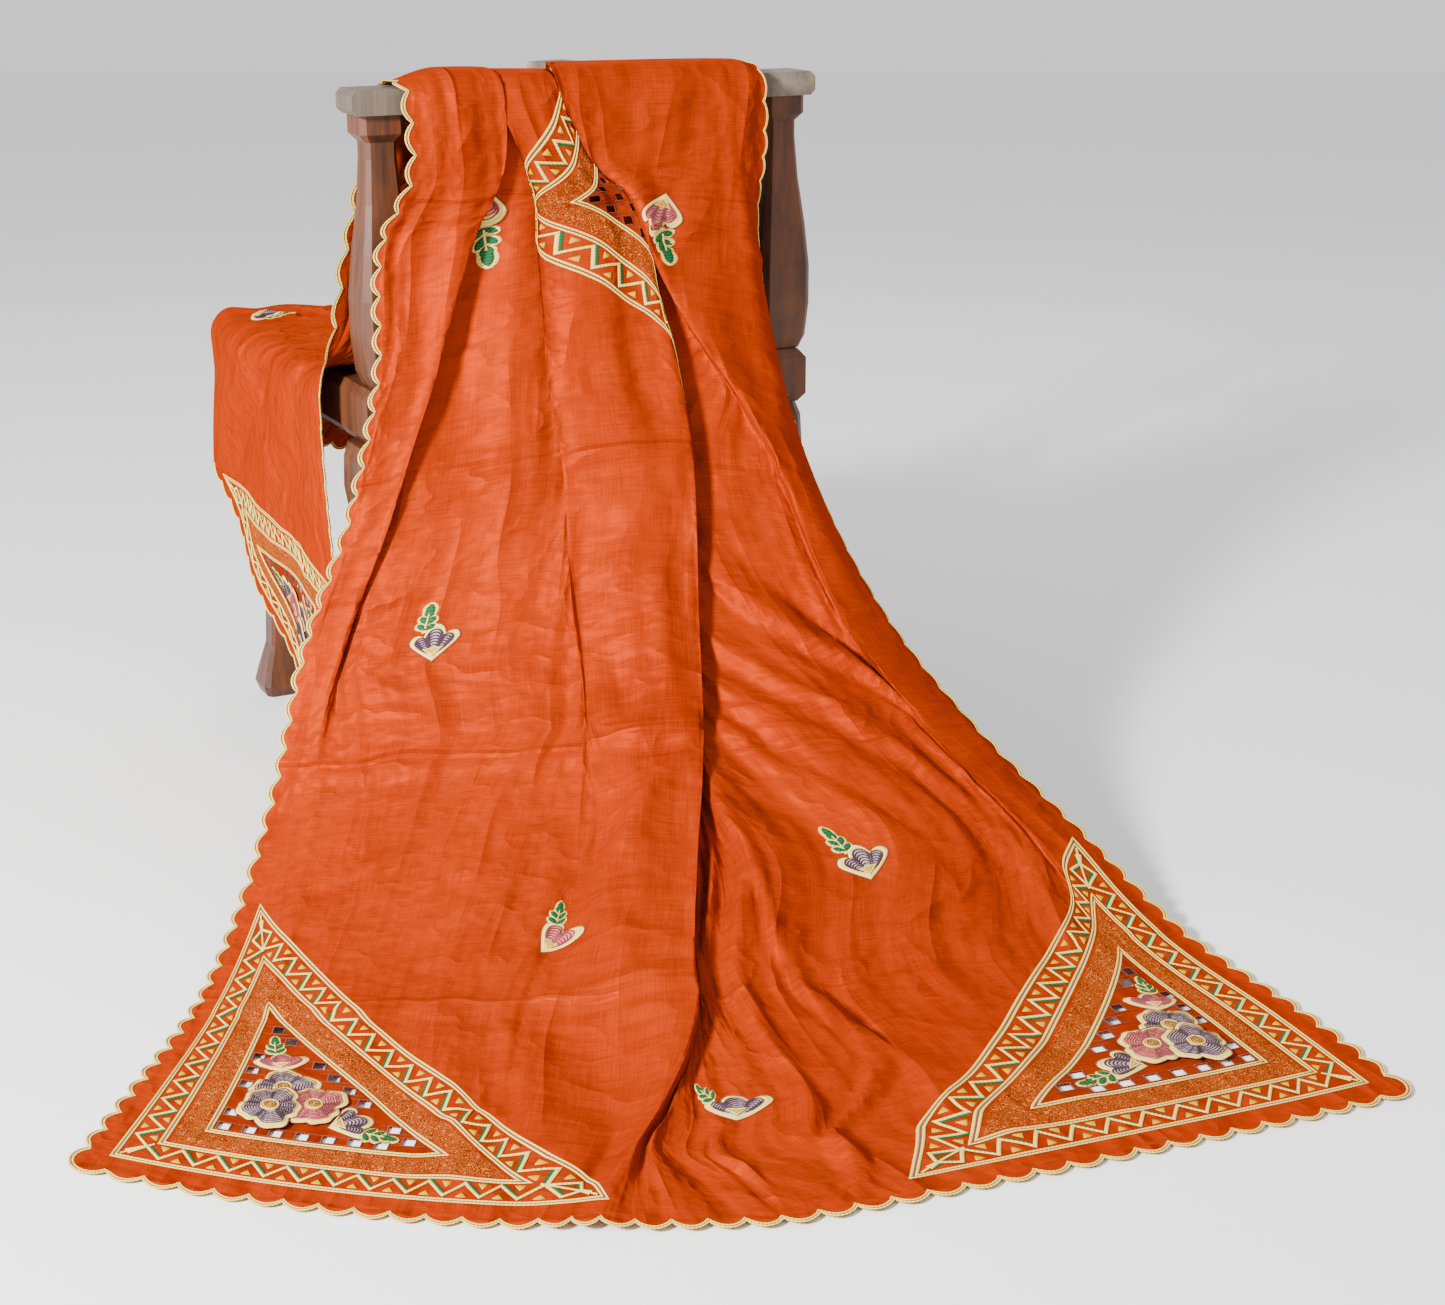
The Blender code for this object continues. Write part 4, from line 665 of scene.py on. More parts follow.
@dataclass(frozen=True)
class SilkFinish:
    """The silk's colours, each for its dark threads and its light ones, and its shine."""

    ground: tuple[Colour, Colour] = ((0.185, 0.0120, 0.0003), (0.370, 0.0310, 0.0007))
    inside_bands: tuple[Colour, Colour] = ((0.140, 0.0100, 0.0003), (0.260, 0.0210, 0.0006))
    couched: tuple[Colour, Colour] = ((0.520, 0.150, 0.0250), (0.190, 0.017, 0.0006))
    roughness: float = 0.46
    light_roughness: float = 0.10
    metallic: float = 0.20
    metallic_edge: Colour = (1.0, 0.30, 0.08)
    sheen: float = 0.08
    sheen_roughness: float = 0.40
    sheen_tint: Colour = (1.0, 0.14, 0.01)


@dataclass(frozen=True)
class Grain:
    """A noise: how fine it is along each axis, its detail and its roughness."""

    fineness: Vector
    detail: float
    roughness: float = 0.5


# Each thread's second colour is its painted shade, which the thread material lays between the stitches
THREADS = {
    Thread.CREAM: Finish("cream thread", (0.78, 0.57, 0.13), (0.46, 0.29, 0.05), 0.65),
    Thread.GOLD: Finish("gold thread", (0.50, 0.30, 0.002), (0.40, 0.18, 0.01), 0.60),
    Thread.GREEN: Finish("green thread", (0.002, 0.090, 0.022), (0.001, 0.022, 0.006), 0.60),
    Thread.ROSE: Finish("rose thread", (0.64, 0.16, 0.13), (0.42, 0.080, 0.070), 0.60),
    Thread.WINE: Finish("wine thread", (0.22, 0.025, 0.035), (0.10, 0.010, 0.015), 0.60, 0.1),
    Thread.LILAC: Finish("lilac thread", (0.40, 0.28, 0.30), (0.20, 0.13, 0.15), 0.65),
    Thread.PLUM: Finish("plum thread", (0.045, 0.020, 0.032), (0.018, 0.008, 0.013), 0.60),
    Thread.RUST: Finish("rust thread", (0.17, 0.022, 0.004), (0.07, 0.010, 0.002), 0.60, 0.1),
}
THREAD_SHINE = 0.20
WOOD_SHINE = 0.3
# Bump: metres for a height of one, strength
SILK_RELIEF = (0.0007, 0.75)
THREAD_RELIEF = (0.0006, 0.8)
WOOD_RELIEF = (0.0008, 0.6)
WORN_SHARE = 0.7
WORN_ROUGHNESS = 0.2

# Silk threads. A range says which noise values lead from 0 to 1.
WEFT = Grain((1.1, 26.0, 1.0), 4.0, 0.62)
WARP = Grain((30.0, 0.8, 1.0), 3.0, 0.60)
WEFT_SHARE = 0.55
WEAVE_RANGE = (0.36, 0.66)
DYE_CLOUD = Grain((0.16, 0.16, 0.16), 3.0, 0.55)
DYE_RANGE = (0.3, 0.7)
DYE_SHARE = 0.35
WEAVE_HEIGHT = 0.50

# Crumples of the silk too small for the mesh. Rows: noise, height, whether its middle is a crest
CRUMPLES = (
    (Grain((0.9, 1.4, 1.0), 3.0), 2.4, False),
    (Grain((0.34, 0.42, 1.0), 3.0), -36.0, True),
    (Grain((0.46, 0.075, 1.0), 2.0, 0.45), -56.0, True),
)
# Sharp creases across the cloth from its storage: distance and half width in scallops, height
STORAGE_FOLD = 10.15
STORAGE_CREASE_HALF = 0.16
STORAGE_CREASE_HEIGHT = 3.0
STORAGE_WANDER = Grain((0.35, 0.35, 0.35), 1.0)
STORAGE_WANDER_REACH = 0.8

# The scribbled couching in the bands follows the levels of a slow noise
SCRIBBLE = Grain((5.2, 5.2, 5.2), 1.0, 0.4)
SCRIBBLE_LEVELS = 9.0
SCRIBBLE_EDGE = (0.10, 0.24)
SCRIBBLE_HEIGHT = 1.6

# Chain stitches: length in scallops, how round they are along and across, their fuzz
STITCH_PITCH = 0.11
STITCH_ROUND_ALONG = 3.2
STITCH_ROUND_ACROSS = 3.0
STITCH_FUZZ = Grain((30.0, 14.0, 1.0), 3.0)
STITCH_SHARE = 0.8
FUZZ_SHARE = 0.3
# The stitch mask's range over which the painted shade between stitches gives way to the thread's colour
STITCH_SHADE_RANGE = (0.15, 0.75)

WOOD_STREAKS = Grain((70.0, 70.0, 7.0), 5.0, 0.6)
STREAK_RANGE = (0.3, 0.72)
WOOD_PORES = Grain((260.0, 260.0, 18.0), 3.0, 0.7)
WOOD_WEAR = Grain((11.0, 11.0, 11.0), 4.0, 0.62)
WEAR_RANGE = (0.52, 0.72)


class Nodes:
    """A short way to write a material's node tree."""

    def __init__(self, tree: Tree) -> None:
        """Starts on a tree."""
        self.tree = tree

    def add(self, kind: str, **settings: object) -> Node:
        """Adds a node of a kind and sets its own properties.

        Args:
            kind: Its type in Blender.
            settings: Its properties by name.

        Returns:
            The node.
        """
        node = self.tree.nodes.new(kind)
        for name, value in settings.items():
            setattr(node, name, value)
        return node

    def link(self, source: Socket, target: Socket) -> None:
        """Joins two sockets."""
        self.tree.links.new(source, target)

    def put(self, socket: Socket, value: object) -> None:
        """Joins a socket to another one, or gives it a plain value.

        Args:
            socket: The input.
            value: A socket, a number or a colour.
        """
        if isinstance(value, bpy.types.NodeSocket):
            self.link(value, socket)
        else:
            socket.default_value = value

    def math(self, operation: str, first: object, second: object = 0.0) -> Socket:
        """A Math node of one or two values.

        Args:
            operation: Its name in Blender.
            first: A socket or a number.
            second: A socket or a number.

        Returns:
            The node's value.
        """
        node = self.add("ShaderNodeMath", operation=operation)
        self.put(node.inputs[0], first)
        self.put(node.inputs[1], second)
        return node.outputs[0]

    def plus(self, first: object, second: object) -> Socket:
        """A sum."""
        return self.math("ADD", first, second)

    def minus(self, first: object, second: object) -> Socket:
        """A difference."""
        return self.math("SUBTRACT", first, second)

    def times(self, first: object, second: object) -> Socket:
        """A product."""
        return self.math("MULTIPLY", first, second)

    def apart(self, first: object, second: object) -> Socket:
        """The distance between two values."""
        return self.math("ABSOLUTE", self.minus(first, second))

    def mix(self, share: Socket, first: Socket | Colour, second: Socket | Colour) -> Socket:
        """A mix of two colours by a share from 0 to 1.

        Args:
            share: How much of the second.
            first: A socket or a colour.
            second: A socket or a colour.

        Returns:
            The mixed colour.
        """
        node = self.add("ShaderNodeMix", data_type="RGBA")
        self.put(node.inputs["Factor"], share)
        for name, value in (("A", first), ("B", second)):
            self.put(node.inputs[name], (*value, 1) if isinstance(value, tuple) else value)
        return node.outputs["Result"]

    def noise(self, vector: Socket, grain: Grain) -> Socket:
        """The value of a noise texture.

        Args:
            vector: The coordinates that it reads.
            grain: The noise's kind.

        Returns:
            Its value, mostly from 0.3 to 0.7.
        """
        mapping = self.add("ShaderNodeMapping")
        self.link(vector, mapping.inputs["Vector"])
        mapping.inputs["Scale"].default_value = grain.fineness
        node = self.add("ShaderNodeTexNoise")
        self.link(mapping.outputs["Vector"], node.inputs["Vector"])
        for name, value in (("Scale", 1.0), ("Detail", grain.detail), ("Roughness", grain.roughness)):
            node.inputs[name].default_value = value
        return node.outputs["Fac"]

    def range(self, value: Socket, low: float, high: float) -> Socket:
        """A value's share of the way from low to high, held within 0 and 1.

        Args:
            value: The value.
            low: Where the share is 0.
            high: Where the share is 1.

        Returns:
            The share.
        """
        node = self.add("ShaderNodeMapRange")
        node.inputs["From Min"].default_value = low
        node.inputs["From Max"].default_value = high
        self.link(value, node.inputs["Value"])
        return node.outputs["Result"]

    def split(self, vector: Socket) -> tuple[Socket, Socket]:
        """A vector's first two coordinates.

        Args:
            vector: The coordinates that it reads.

        Returns:
            Its X and Y.
        """
        node = self.add("ShaderNodeSeparateXYZ")
        self.link(vector, node.inputs[0])
        return node.outputs["X"], node.outputs["Y"]

    def bump(self, height: Socket, distance: float, strength: float) -> Socket:
        """The normal of a Bump node.

        Args:
            height: The relief.
            distance: How many metres a height of one is.
            strength: The node's strength.

        Returns:
            The normal.
        """
        node = self.add("ShaderNodeBump")
        node.inputs["Strength"].default_value = strength
        node.inputs["Distance"].default_value = distance
        self.link(height, node.inputs["Height"])
        return node.outputs["Normal"]

    def use(self, group: Tree, vector: Socket) -> Node:
        """Places a node group and gives it its vector.

        Args:
            group: The group.
            vector: The coordinates that it reads.

        Returns:
            Its node.
        """
        node = self.add("ShaderNodeGroup", node_tree=group)
        self.link(vector, node.inputs["Vector"])
        return node


def new_group(name: str, outputs: Iterable[str]) -> tuple[Tree, Nodes, Socket, dict[str, Socket]]:
    """Starts a shader node group that reads a vector and puts out numbers.

    Args:
        name: The group's name.
        outputs: The names of its outputs.

    Returns:
        The group, its node writer, its inner vector and its inner output sockets by name.
    """
    tree = bpy.data.node_groups.new(name, "ShaderNodeTree")
    tree.interface.new_socket("Vector", in_out="INPUT", socket_type="NodeSocketVector")
    for key in outputs:
        tree.interface.new_socket(key, in_out="OUTPUT", socket_type="NodeSocketFloat")
    nodes = Nodes(tree)
    start = nodes.add("NodeGroupInput")
    end = nodes.add("NodeGroupOutput")
    return tree, nodes, start.outputs["Vector"], {socket.name: socket for socket in end.inputs}


def new_material(name: str) -> tuple[Material, Nodes, Node]:
    """A new material, with its node writer and its Principled shader.

    Args:
        name: Its name.

    Returns:
        The material, its node writer and its shader.
    """
    material = bpy.data.materials.new(name)
    material.use_nodes = True
    return material, Nodes(material.node_tree), material.node_tree.nodes["Principled BSDF"]


class MaterialShelf:
    """Makes the scene's materials on shared node groups."""

    def __init__(self) -> None:
        """Builds the shared node groups."""
        self.weave = self.weave_group()
        self.stitches = self.stitch_group()
        self.grain = self.wood_group()

    @staticmethod
    def weave_group() -> Tree:
        """Uneven silk threads: a colour mask and a height.

        Returns:
            The group.
        """
        tree, n, where, end = new_group("silk threads", ("Mask", "Height"))
        weft = n.noise(where, WEFT)
        warp = n.noise(where, WARP)
        threads = n.plus(n.times(weft, WEFT_SHARE), n.times(warp, 1 - WEFT_SHARE))
        dye = n.range(n.noise(where, DYE_CLOUD), *DYE_RANGE)
        weave = n.range(threads, *WEAVE_RANGE)
        mask = n.plus(n.times(weave, 1 - DYE_SHARE), n.times(dye, DYE_SHARE))
        n.link(mask, end["Mask"])
        n.link(threads, end["Height"])
        return tree

    @staticmethod
    def stitch_group() -> Tree:
        """Chain stitches along a strip whose first coordinate runs with the thread.

        Returns:
            The group.
        """
        tree, n, where, end = new_group("chain stitches", ("Mask", "Height"))
        x, y = n.split(where)
        along = n.apart(n.math("FRACT", n.math("DIVIDE", x, STITCH_PITCH)), 0.5)
        aside = n.apart(y, 0.5)
        round_across = n.minus(1.0, n.times(n.times(aside, aside), STITCH_ROUND_ACROSS))
        round_along = n.minus(1.0, n.times(n.times(along, along), STITCH_ROUND_ALONG))
        height = n.times(round_along, round_across)
        fuzz = n.times(n.noise(where, STITCH_FUZZ), FUZZ_SHARE)
        n.link(n.plus(n.times(height, STITCH_SHARE), fuzz), end["Height"])
        # The stitches' height is also the mask for the painted shade between them
        n.link(height, end["Mask"])
        return tree

    @staticmethod
    def wood_group() -> Tree:
        """Wood grain along Z with darker pores and worn patches.

        Returns:
            The group.
        """
        tree, n, where, end = new_group("wood grain", ("Grain", "Wear", "Height"))
        streaks = n.noise(where, WOOD_STREAKS)
        pores = n.noise(where, WOOD_PORES)
        n.link(n.range(streaks, *STREAK_RANGE), end["Grain"])
        n.link(n.range(n.noise(where, WOOD_WEAR), *WEAR_RANGE), end["Wear"])
        n.link(n.times(n.plus(streaks, pores), 0.5), end["Height"])
        return tree

    @staticmethod
    def band_inset(n: Nodes, u: Socket, v: Socket) -> Socket:
        """How far a point lies inside the outline of its corner triangle or of the middle diamond.

        Args:
            n: The material's node writer.
            u: The place across.
            v: The place along.

        Returns:
            The distance in scallops, negative outside.
        """
        near_u = n.math("MINIMUM", u, n.minus(float(SCALLOPS_ACROSS), u))
        near_v = n.math("MINIMUM", v, n.minus(float(SCALLOPS_ALONG), v))
        legs = n.math("MINIMUM", n.minus(near_u, BAND_OUTER), n.minus(near_v, BAND_OUTER))
        slanted = n.times(n.minus(2 * BAND_OUTER + CORNER_LEG, n.plus(near_u, near_v)), math.sqrt(0.5))
        from_middle = n.plus(n.apart(u, SCALLOPS_ACROSS / 2), n.apart(v, SCALLOPS_ALONG / 2))
        diamond = n.times(n.minus(DIAMOND_HALF, from_middle), math.sqrt(0.5))
        return n.math("MAXIMUM", n.math("MINIMUM", legs, slanted), diamond)

    @staticmethod
    def storage_creases(n: Nodes, uv: Socket, v: Socket) -> Socket:
        """The height of the slightly wandering creases across the cloth.

        Args:
            n: The material's node writer.
            uv: The place on the pattern.
            v: The place along.

        Returns:
            The height.
        """
        wander = n.times(n.minus(n.noise(uv, STORAGE_WANDER), 0.5), STORAGE_WANDER_REACH)
        turns = n.math("DIVIDE", n.plus(v, wander), STORAGE_FOLD)
        from_crease = n.apart(n.math("FRACT", n.plus(turns, 0.5)), 0.5)
        tent = n.minus(1.0, n.times(from_crease, STORAGE_FOLD / STORAGE_CREASE_HALF))
        return n.times(n.math("MAXIMUM", 0.0, tent), STORAGE_CREASE_HEIGHT)

    def silk(self, finish: SilkFinish = SilkFinish()) -> Material:
        """Burnt orange silk, with the rough couched filling of the embroidered bands.

        Args:
            finish: Its colours and shine.

        Returns:
            The material.
        """
        material, n, shader = new_material("silk")
        uv = n.add("ShaderNodeUVMap", uv_map="scallops").outputs["UV"]
        weave = n.use(self.weave, uv)
        light = weave.outputs["Mask"]
        u, v = n.split(uv)
        inset = self.band_inset(n, u, v)
        fill = n.times(n.math("GREATER_THAN", inset, FILL_FROM), n.math("LESS_THAN", inset, FILL_TO))
        inner = n.math("GREATER_THAN", inset, BAND_WIDTH)
        level = n.math("FRACT", n.times(n.noise(uv, SCRIBBLE), SCRIBBLE_LEVELS))
        gap = n.range(n.apart(level, 0.5), *SCRIBBLE_EDGE)
        cloth = n.mix(inner, n.mix(light, *finish.ground), n.mix(light, *finish.inside_bands))
        n.link(n.mix(fill, cloth, n.mix(gap, *finish.couched)), shader.inputs["Base Color"])
        height = n.times(weave.outputs["Height"], WEAVE_HEIGHT)
        for grain, rise, is_crest in CRUMPLES:
            level = n.noise(uv, grain)
            height = n.plus(height, n.times(n.apart(level, 0.5) if is_crest else level, rise))
        height = n.plus(height, self.storage_creases(n, uv, v))
        height = n.plus(height, n.times(n.minus(1.0, gap), n.times(fill, SCRIBBLE_HEIGHT)))
        n.link(n.bump(height, *SILK_RELIEF), shader.inputs["Normal"])
        roughness = n.plus(finish.roughness, n.times(light, finish.light_roughness))
        n.link(roughness, shader.inputs["Roughness"])
        shader.inputs["Metallic"].default_value = finish.metallic
        shader.inputs["Sheen Weight"].default_value = finish.sheen
        shader.inputs["Sheen Roughness"].default_value = finish.sheen_roughness
        shader.inputs["Sheen Tint"].default_value = (*finish.sheen_tint, 1)
        shader.inputs["Specular IOR Level"].default_value = 0.0
        shader.inputs["Specular Tint"].default_value = (*finish.metallic_edge, 1)
        return material

    def thread(self, finish: Finish) -> Material:
        """Thread in close chain stitches, with painted shade that darkens it between them.

        Args:
            finish: The finish.

        Returns:
            The material.
        """
        material, n, shader = new_material(finish.name)
        stitch = n.use(self.stitches, n.add("ShaderNodeUVMap", uv_map="thread").outputs["UV"])
        # Painted shade: the colour turns to the dark one where the stitches dip
        shade = n.range(stitch.outputs["Mask"], *STITCH_SHADE_RANGE)
        n.link(n.mix(shade, finish.dark, finish.colour), shader.inputs["Base Color"])
        n.link(n.bump(stitch.outputs["Height"], *THREAD_RELIEF), shader.inputs["Normal"])
        shader.inputs["Roughness"].default_value = finish.roughness
        shader.inputs["Sheen Weight"].default_value = finish.sheen
        shader.inputs["Specular IOR Level"].default_value = THREAD_SHINE
        return material

    def wood(self, finish: Finish) -> Material:
        """Stained wood with grain, pores and worn patches.

        Args:
            finish: The finish.

        Returns:
            The material.
        """
        material, n, shader = new_material(finish.name)
        wood = n.use(self.grain, n.add("ShaderNodeTexCoord").outputs["Object"])
        wear = wood.outputs["Wear"]
        stained = n.mix(n.times(wood.outputs["Grain"], finish.grain), finish.colour, finish.dark)
        n.link(n.mix(n.times(wear, WORN_SHARE), stained, finish.worn), shader.inputs["Base Color"])
        n.link(n.bump(wood.outputs["Height"], *WOOD_RELIEF), shader.inputs["Normal"])
        n.link(n.plus(finish.roughness, n.times(wear, WORN_ROUGHNESS)), shader.inputs["Roughness"])
        shader.inputs["Specular IOR Level"].default_value = WOOD_SHINE
        return material


def corner_cells() -> list[Point]:
    """Centres of a corner's cut cells, from the cloth's corner along both legs.

    Returns:
        Points in the corner's own directions.
    """
    near = BAND_OUTER + BAND_WIDTH + CUT_MARGIN
    limit = 2 * BAND_OUTER + CORNER_LEG - (BAND_WIDTH + CUT_MARGIN) * math.sqrt(2)
    long_side = [near + (limit - 2 * near) * (k + 0.5) / LONG_SIDE_CELLS for k in range(LONG_SIDE_CELLS)]
    places = [(x, limit - x) for x in long_side]
    for k in range(int((limit - 2 * near) / CUT_PITCH) + 1):
        places += [(near + k * CUT_PITCH, near), (near, near + k * CUT_PITCH)]
    cells: list[Point] = []
    for x, y in places:
        clear = all(math.hypot(x - cx, y - cy) > r + CUT_HALF for cx, cy, r in UNCUT_CIRCLES)
        if clear and all(math.hypot(x - cx, y - cy) > CUT_SPACING for cx, cy in cells):
            cells.append((x, y))
    return cells


def cut_cells() -> list[Point]:
    """Centres of all cut cells on the flat cloth.

    Returns:
        Points (u, v).
    """
    cells = [
        (u, v) for x, y in corner_cells()
        for u in (x, SCALLOPS_ACROSS - x) for v in (y, SCALLOPS_ALONG - y)
    ]
    for row in range(DIAMOND_ROWS):
        reach = DIAMOND_HALF - (BAND_WIDTH + CUT_MARGIN + row * CUT_PITCH) * math.sqrt(2)
        count = round(reach / CUT_PITCH * math.sqrt(2))
        for k in range(count):
            x = reach * k / count
            y = reach - x
            turned = ((x, y), (y, -x), (-x, -y), (-y, x))
            cells += [(SCALLOPS_ACROSS / 2 + a, SCALLOPS_ALONG / 2 + b) for a, b in turned]
    return cells


def finish_mesh(
    name: str, points: Array, faces: Sequence[Sequence[int]], uv_name: str, uv: Array, material: Material
) -> Piece:
    """A smooth mesh object with a UV map and one material.

    Args:
        name: The piece's name.
        points: Its vertices.
        faces: Its faces, as vertex numbers.
        uv_name: The UV map's name.
        uv: A coordinate pair for each vertex.
        material: Its material.

    Returns:
        The object, linked to the scene.
    """
    mesh = bpy.data.meshes.new(name)
    mesh.from_pydata(points.tolist(), [], faces)
    layer = mesh.uv_layers.new(name=uv_name)
    corners = np.empty(len(mesh.loops), int)
    mesh.loops.foreach_get("vertex_index", corners)
    layer.data.foreach_set("uv", uv[corners].astype(np.float32).ravel())
    mesh.materials.append(material)
    mesh.shade_smooth()
    return add_to_scene(name, mesh)


def add_to_scene(name: str, data: bpy.types.ID) -> Piece:
    """A new object of a mesh, a light or a camera.

    Args:
        name: Its name.
        data: The mesh, light or camera.

    Returns:
        The object, linked to the scene.
    """
    made = bpy.data.objects.new(name, data)
    bpy.context.scene.collection.objects.link(made)
    return made


# How far from a motif's middle the drape's stretch is read, in scallops, and its limits
SPREAD_PROBE = 0.8
SPREAD_LIMITS = (0.7, 2.0)
RIM_SPREAD_LIMITS = (0.9, 3.0)
# Grid lines keep this far from a cut cell's sides, and a cell's side this far from grid lines
LINE_CLEARANCE = 0.09
SIDE_CLEARANCE = 0.02
# A rim point nearer than this to the straight edge is the edge's own
SAME_POINT = 1e-4


@dataclass
class SilkSheet:
    """The cloth itself, as one thin sheet with its cut cells open."""

    drape: Drape
    step: float = 0.25
    margin: float = 0.4
    cells: list[Point] = field(init=False)
    u_lines: Array = field(init=False)
    v_lines: Array = field(init=False)
    points: Array = field(init=False)
    normals: Array = field(init=False)
    side_spread: list[Array] = field(init=False)
    hem_spread: list[Array] = field(init=False)

    def __post_init__(self) -> None:
        """Works out the sheet's grid in space, and how far its edges are stretched."""
        self.cells = cut_cells()
        self.u_lines = self.grid_lines(SCALLOPS_ACROSS, {cell[0] for cell in self.cells})
        self.v_lines = self.grid_lines(SCALLOPS_ALONG, {cell[1] for cell in self.cells})
        u, v = np.meshgrid(self.u_lines, self.v_lines, indexing="ij")
        self.points = self.drape.place(u.ravel(), v.ravel()).reshape(*u.shape, 3)
        self.normals = unit_rows(np.cross(np.gradient(self.points, axis=0), np.gradient(self.points, axis=1)))
        reach = self.margin * SCALLOP
        by_u, by_v = self.points, self.points.swapaxes(0, 1)
        self.side_spread, self.hem_spread = (
            [np.linalg.norm(grid[a] - grid[b], axis=1) / reach for a, b in ((0, 1), (-1, -2))]
            for grid in (by_u, by_v)
        )

    def spread_at(self, centre: Point) -> tuple[float, float]:
        """How much wider and longer the draped cloth shows than its pattern at a point.

        Args:
            centre: The point (u, v) of the pattern.

        Returns:
            The share across and the share along.
        """
        u0, v0 = centre
        u = np.array([u0 - SPREAD_PROBE, u0 + SPREAD_PROBE, u0, u0, u0])
        v = np.array([v0, v0, v0 - SPREAD_PROBE, v0 + SPREAD_PROBE, v0])
        left, right, near, far, here = self.at(u, v, np.zeros(5))
        half = SPREAD_PROBE * SCALLOP
        wide = max(np.linalg.norm(side - here) for side in (left, right)) / half
        tall = np.linalg.norm(far - near) / (2 * half)
        return float(np.clip(wide, *SPREAD_LIMITS)), float(np.clip(tall, *SPREAD_LIMITS))

    def rim_share(self, u: float, v: float) -> float:
        """How much a rim lobe is drawn in, so that it shows at its true depth.

        Args:
            u: The edge point's place across.
            v: The edge point's place along.

        Returns:
            The share of its flat depth.
        """
        near_u, near_v = min(u, SCALLOPS_ACROSS - u), min(v, SCALLOPS_ALONG - v)
        if near_u <= 1 and near_v <= 1:
            return 1.0
        if near_u < near_v:
            spread = np.interp(v, self.v_lines, self.side_spread[int(u > SCALLOPS_ACROSS / 2)])
        else:
            spread = np.interp(u, self.u_lines, self.hem_spread[int(v > SCALLOPS_ALONG / 2)])
        return 1.0 / float(np.clip(spread, *RIM_SPREAD_LIMITS))

    def rim_point(self, u: float, v: float, inset: float = 0.0) -> Point:
        """The scalloped outline's point beyond a point of the straight edge, at its true depth.

        Args:
            u: The edge point's place across.
            v: The edge point's place along.
            inset: How far inside the outline, in scallops.

        Returns:
            The point (u, v).
        """
        outer = outline_point(u, v, inset)
        share = self.rim_share(u, v)
        return u + (outer[0] - u) * share, v + (outer[1] - v) * share

    def grid_lines(self, count: int, centres: Iterable[float]) -> Array:
        """Lines across the grid: an even step, with a line at each side of every cut cell.

        Args:
            count: The number of scallops along this side.
            centres: Places of the cut cells' middles.

        Returns:
            Rising places, with one line beyond each edge.
        """
        sides = sorted({round(c + s * CUT_HALF, 4) for c in centres for s in (-1, 1)})
        whole = [k * self.step for k in range(int(count / self.step) + 1)]
        kept = [x for x in whole if x == int(x) or all(abs(x - side) > LINE_CLEARANCE for side in sides)]
        lines = sorted(set(kept) | {s for s in sides if all(abs(s - x) > SIDE_CLEARANCE for x in kept)})
        return np.array([-self.margin] + lines + [count + self.margin])

    def at(self, u: Array, v: Array, lift: Array) -> Array:
        """Points on the sheet, lifted off it along its normal.

        Args:
            u: Places across, in scallops.
            v: Places along, in scallops.
            lift: Heights over the sheet, in metres.

        Returns:
            Points in the row's frame.
        """
        i = np.clip(np.searchsorted(self.u_lines, u) - 1, 0, len(self.u_lines) - 2)
        j = np.clip(np.searchsorted(self.v_lines, v) - 1, 0, len(self.v_lines) - 2)
        s = ((u - self.u_lines[i]) / (self.u_lines[i + 1] - self.u_lines[i]))[:, None]
        t = ((v - self.v_lines[j]) / (self.v_lines[j + 1] - self.v_lines[j]))[:, None]

        def blend(grid: Array) -> Array:
            """The grid's value between its four nearest lines."""
            low = grid[i, j] * (1 - s) + grid[i + 1, j] * s
            high = grid[i, j + 1] * (1 - s) + grid[i + 1, j + 1] * s
            return low * (1 - t) + high * t

        return blend(self.points) + unit_rows(blend(self.normals)) * lift[:, None]

    def build(self, shelf: MaterialShelf) -> Piece:
        """Makes the sheet's mesh, with its scalloped rim and open cells.

        Args:
            shelf: The scene's materials.

        Returns:
            The sheet's object.
        """
        u_in, v_in = self.u_lines[1:-1], self.v_lines[1:-1]
        nu, nv = len(u_in), len(v_in)
        u, v = np.meshgrid(u_in, v_in, indexing="ij")
        flat_u, flat_v = list(u.ravel()), list(v.ravel())
        middle_u, middle_v = (u_in[1:] + u_in[:-1]) / 2, (v_in[1:] + v_in[:-1]) / 2
        is_open = np.zeros((nu - 1, nv - 1), bool)
        for cu, cv in self.cells:
            is_open |= np.outer(np.abs(middle_u - cu) < CUT_HALF, np.abs(middle_v - cv) < CUT_HALF)
        i, j = np.nonzero(~is_open)
        corner = i * nv + j
        faces = np.stack((corner, corner + nv, corner + nv + 1, corner + 1), axis=1).tolist()
        ring = [k * nv for k in range(nu)] + [(nu - 1) * nv + k for k in range(1, nv)]
        ring += [k * nv + nv - 1 for k in range(nu - 2, -1, -1)] + list(range(nv - 2, 0, -1))
        outer = []
        for index in ring:
            edge_point = flat_u[index], flat_v[index]
            rim_point = self.rim_point(*edge_point)
            if math.dist(rim_point, edge_point) < SAME_POINT:
                outer.append(index)
                continue
            flat_u.append(rim_point[0])
            flat_v.append(rim_point[1])
            outer.append(len(flat_u) - 1)
        for k, index in enumerate(ring):
            following = (k + 1) % len(ring)
            face = list(dict.fromkeys((index, outer[k], outer[following], ring[following])))
            if len(face) > 2:
                faces.append(face)
        flat = np.stack((flat_u, flat_v), axis=1)
        points = self.at(flat[:, 0], flat[:, 1], np.zeros(len(flat)))
        return finish_mesh("silk_cloth", points, faces, "scallops", flat, shelf.silk())


@dataclass(frozen=True)
class Stitch:
    """A stitched line: its thread, its width in scallops, how high its edges lie and its middle more."""

    thread: Thread
    width: float
    lift: float
    crown: float


@dataclass(frozen=True)
class Fill:
    """A filled patch: its thread, its height over the cloth, its rings and its middle's extra height."""

    thread: Thread
    lift: float
    rings: int
    crown: float = 0.0004
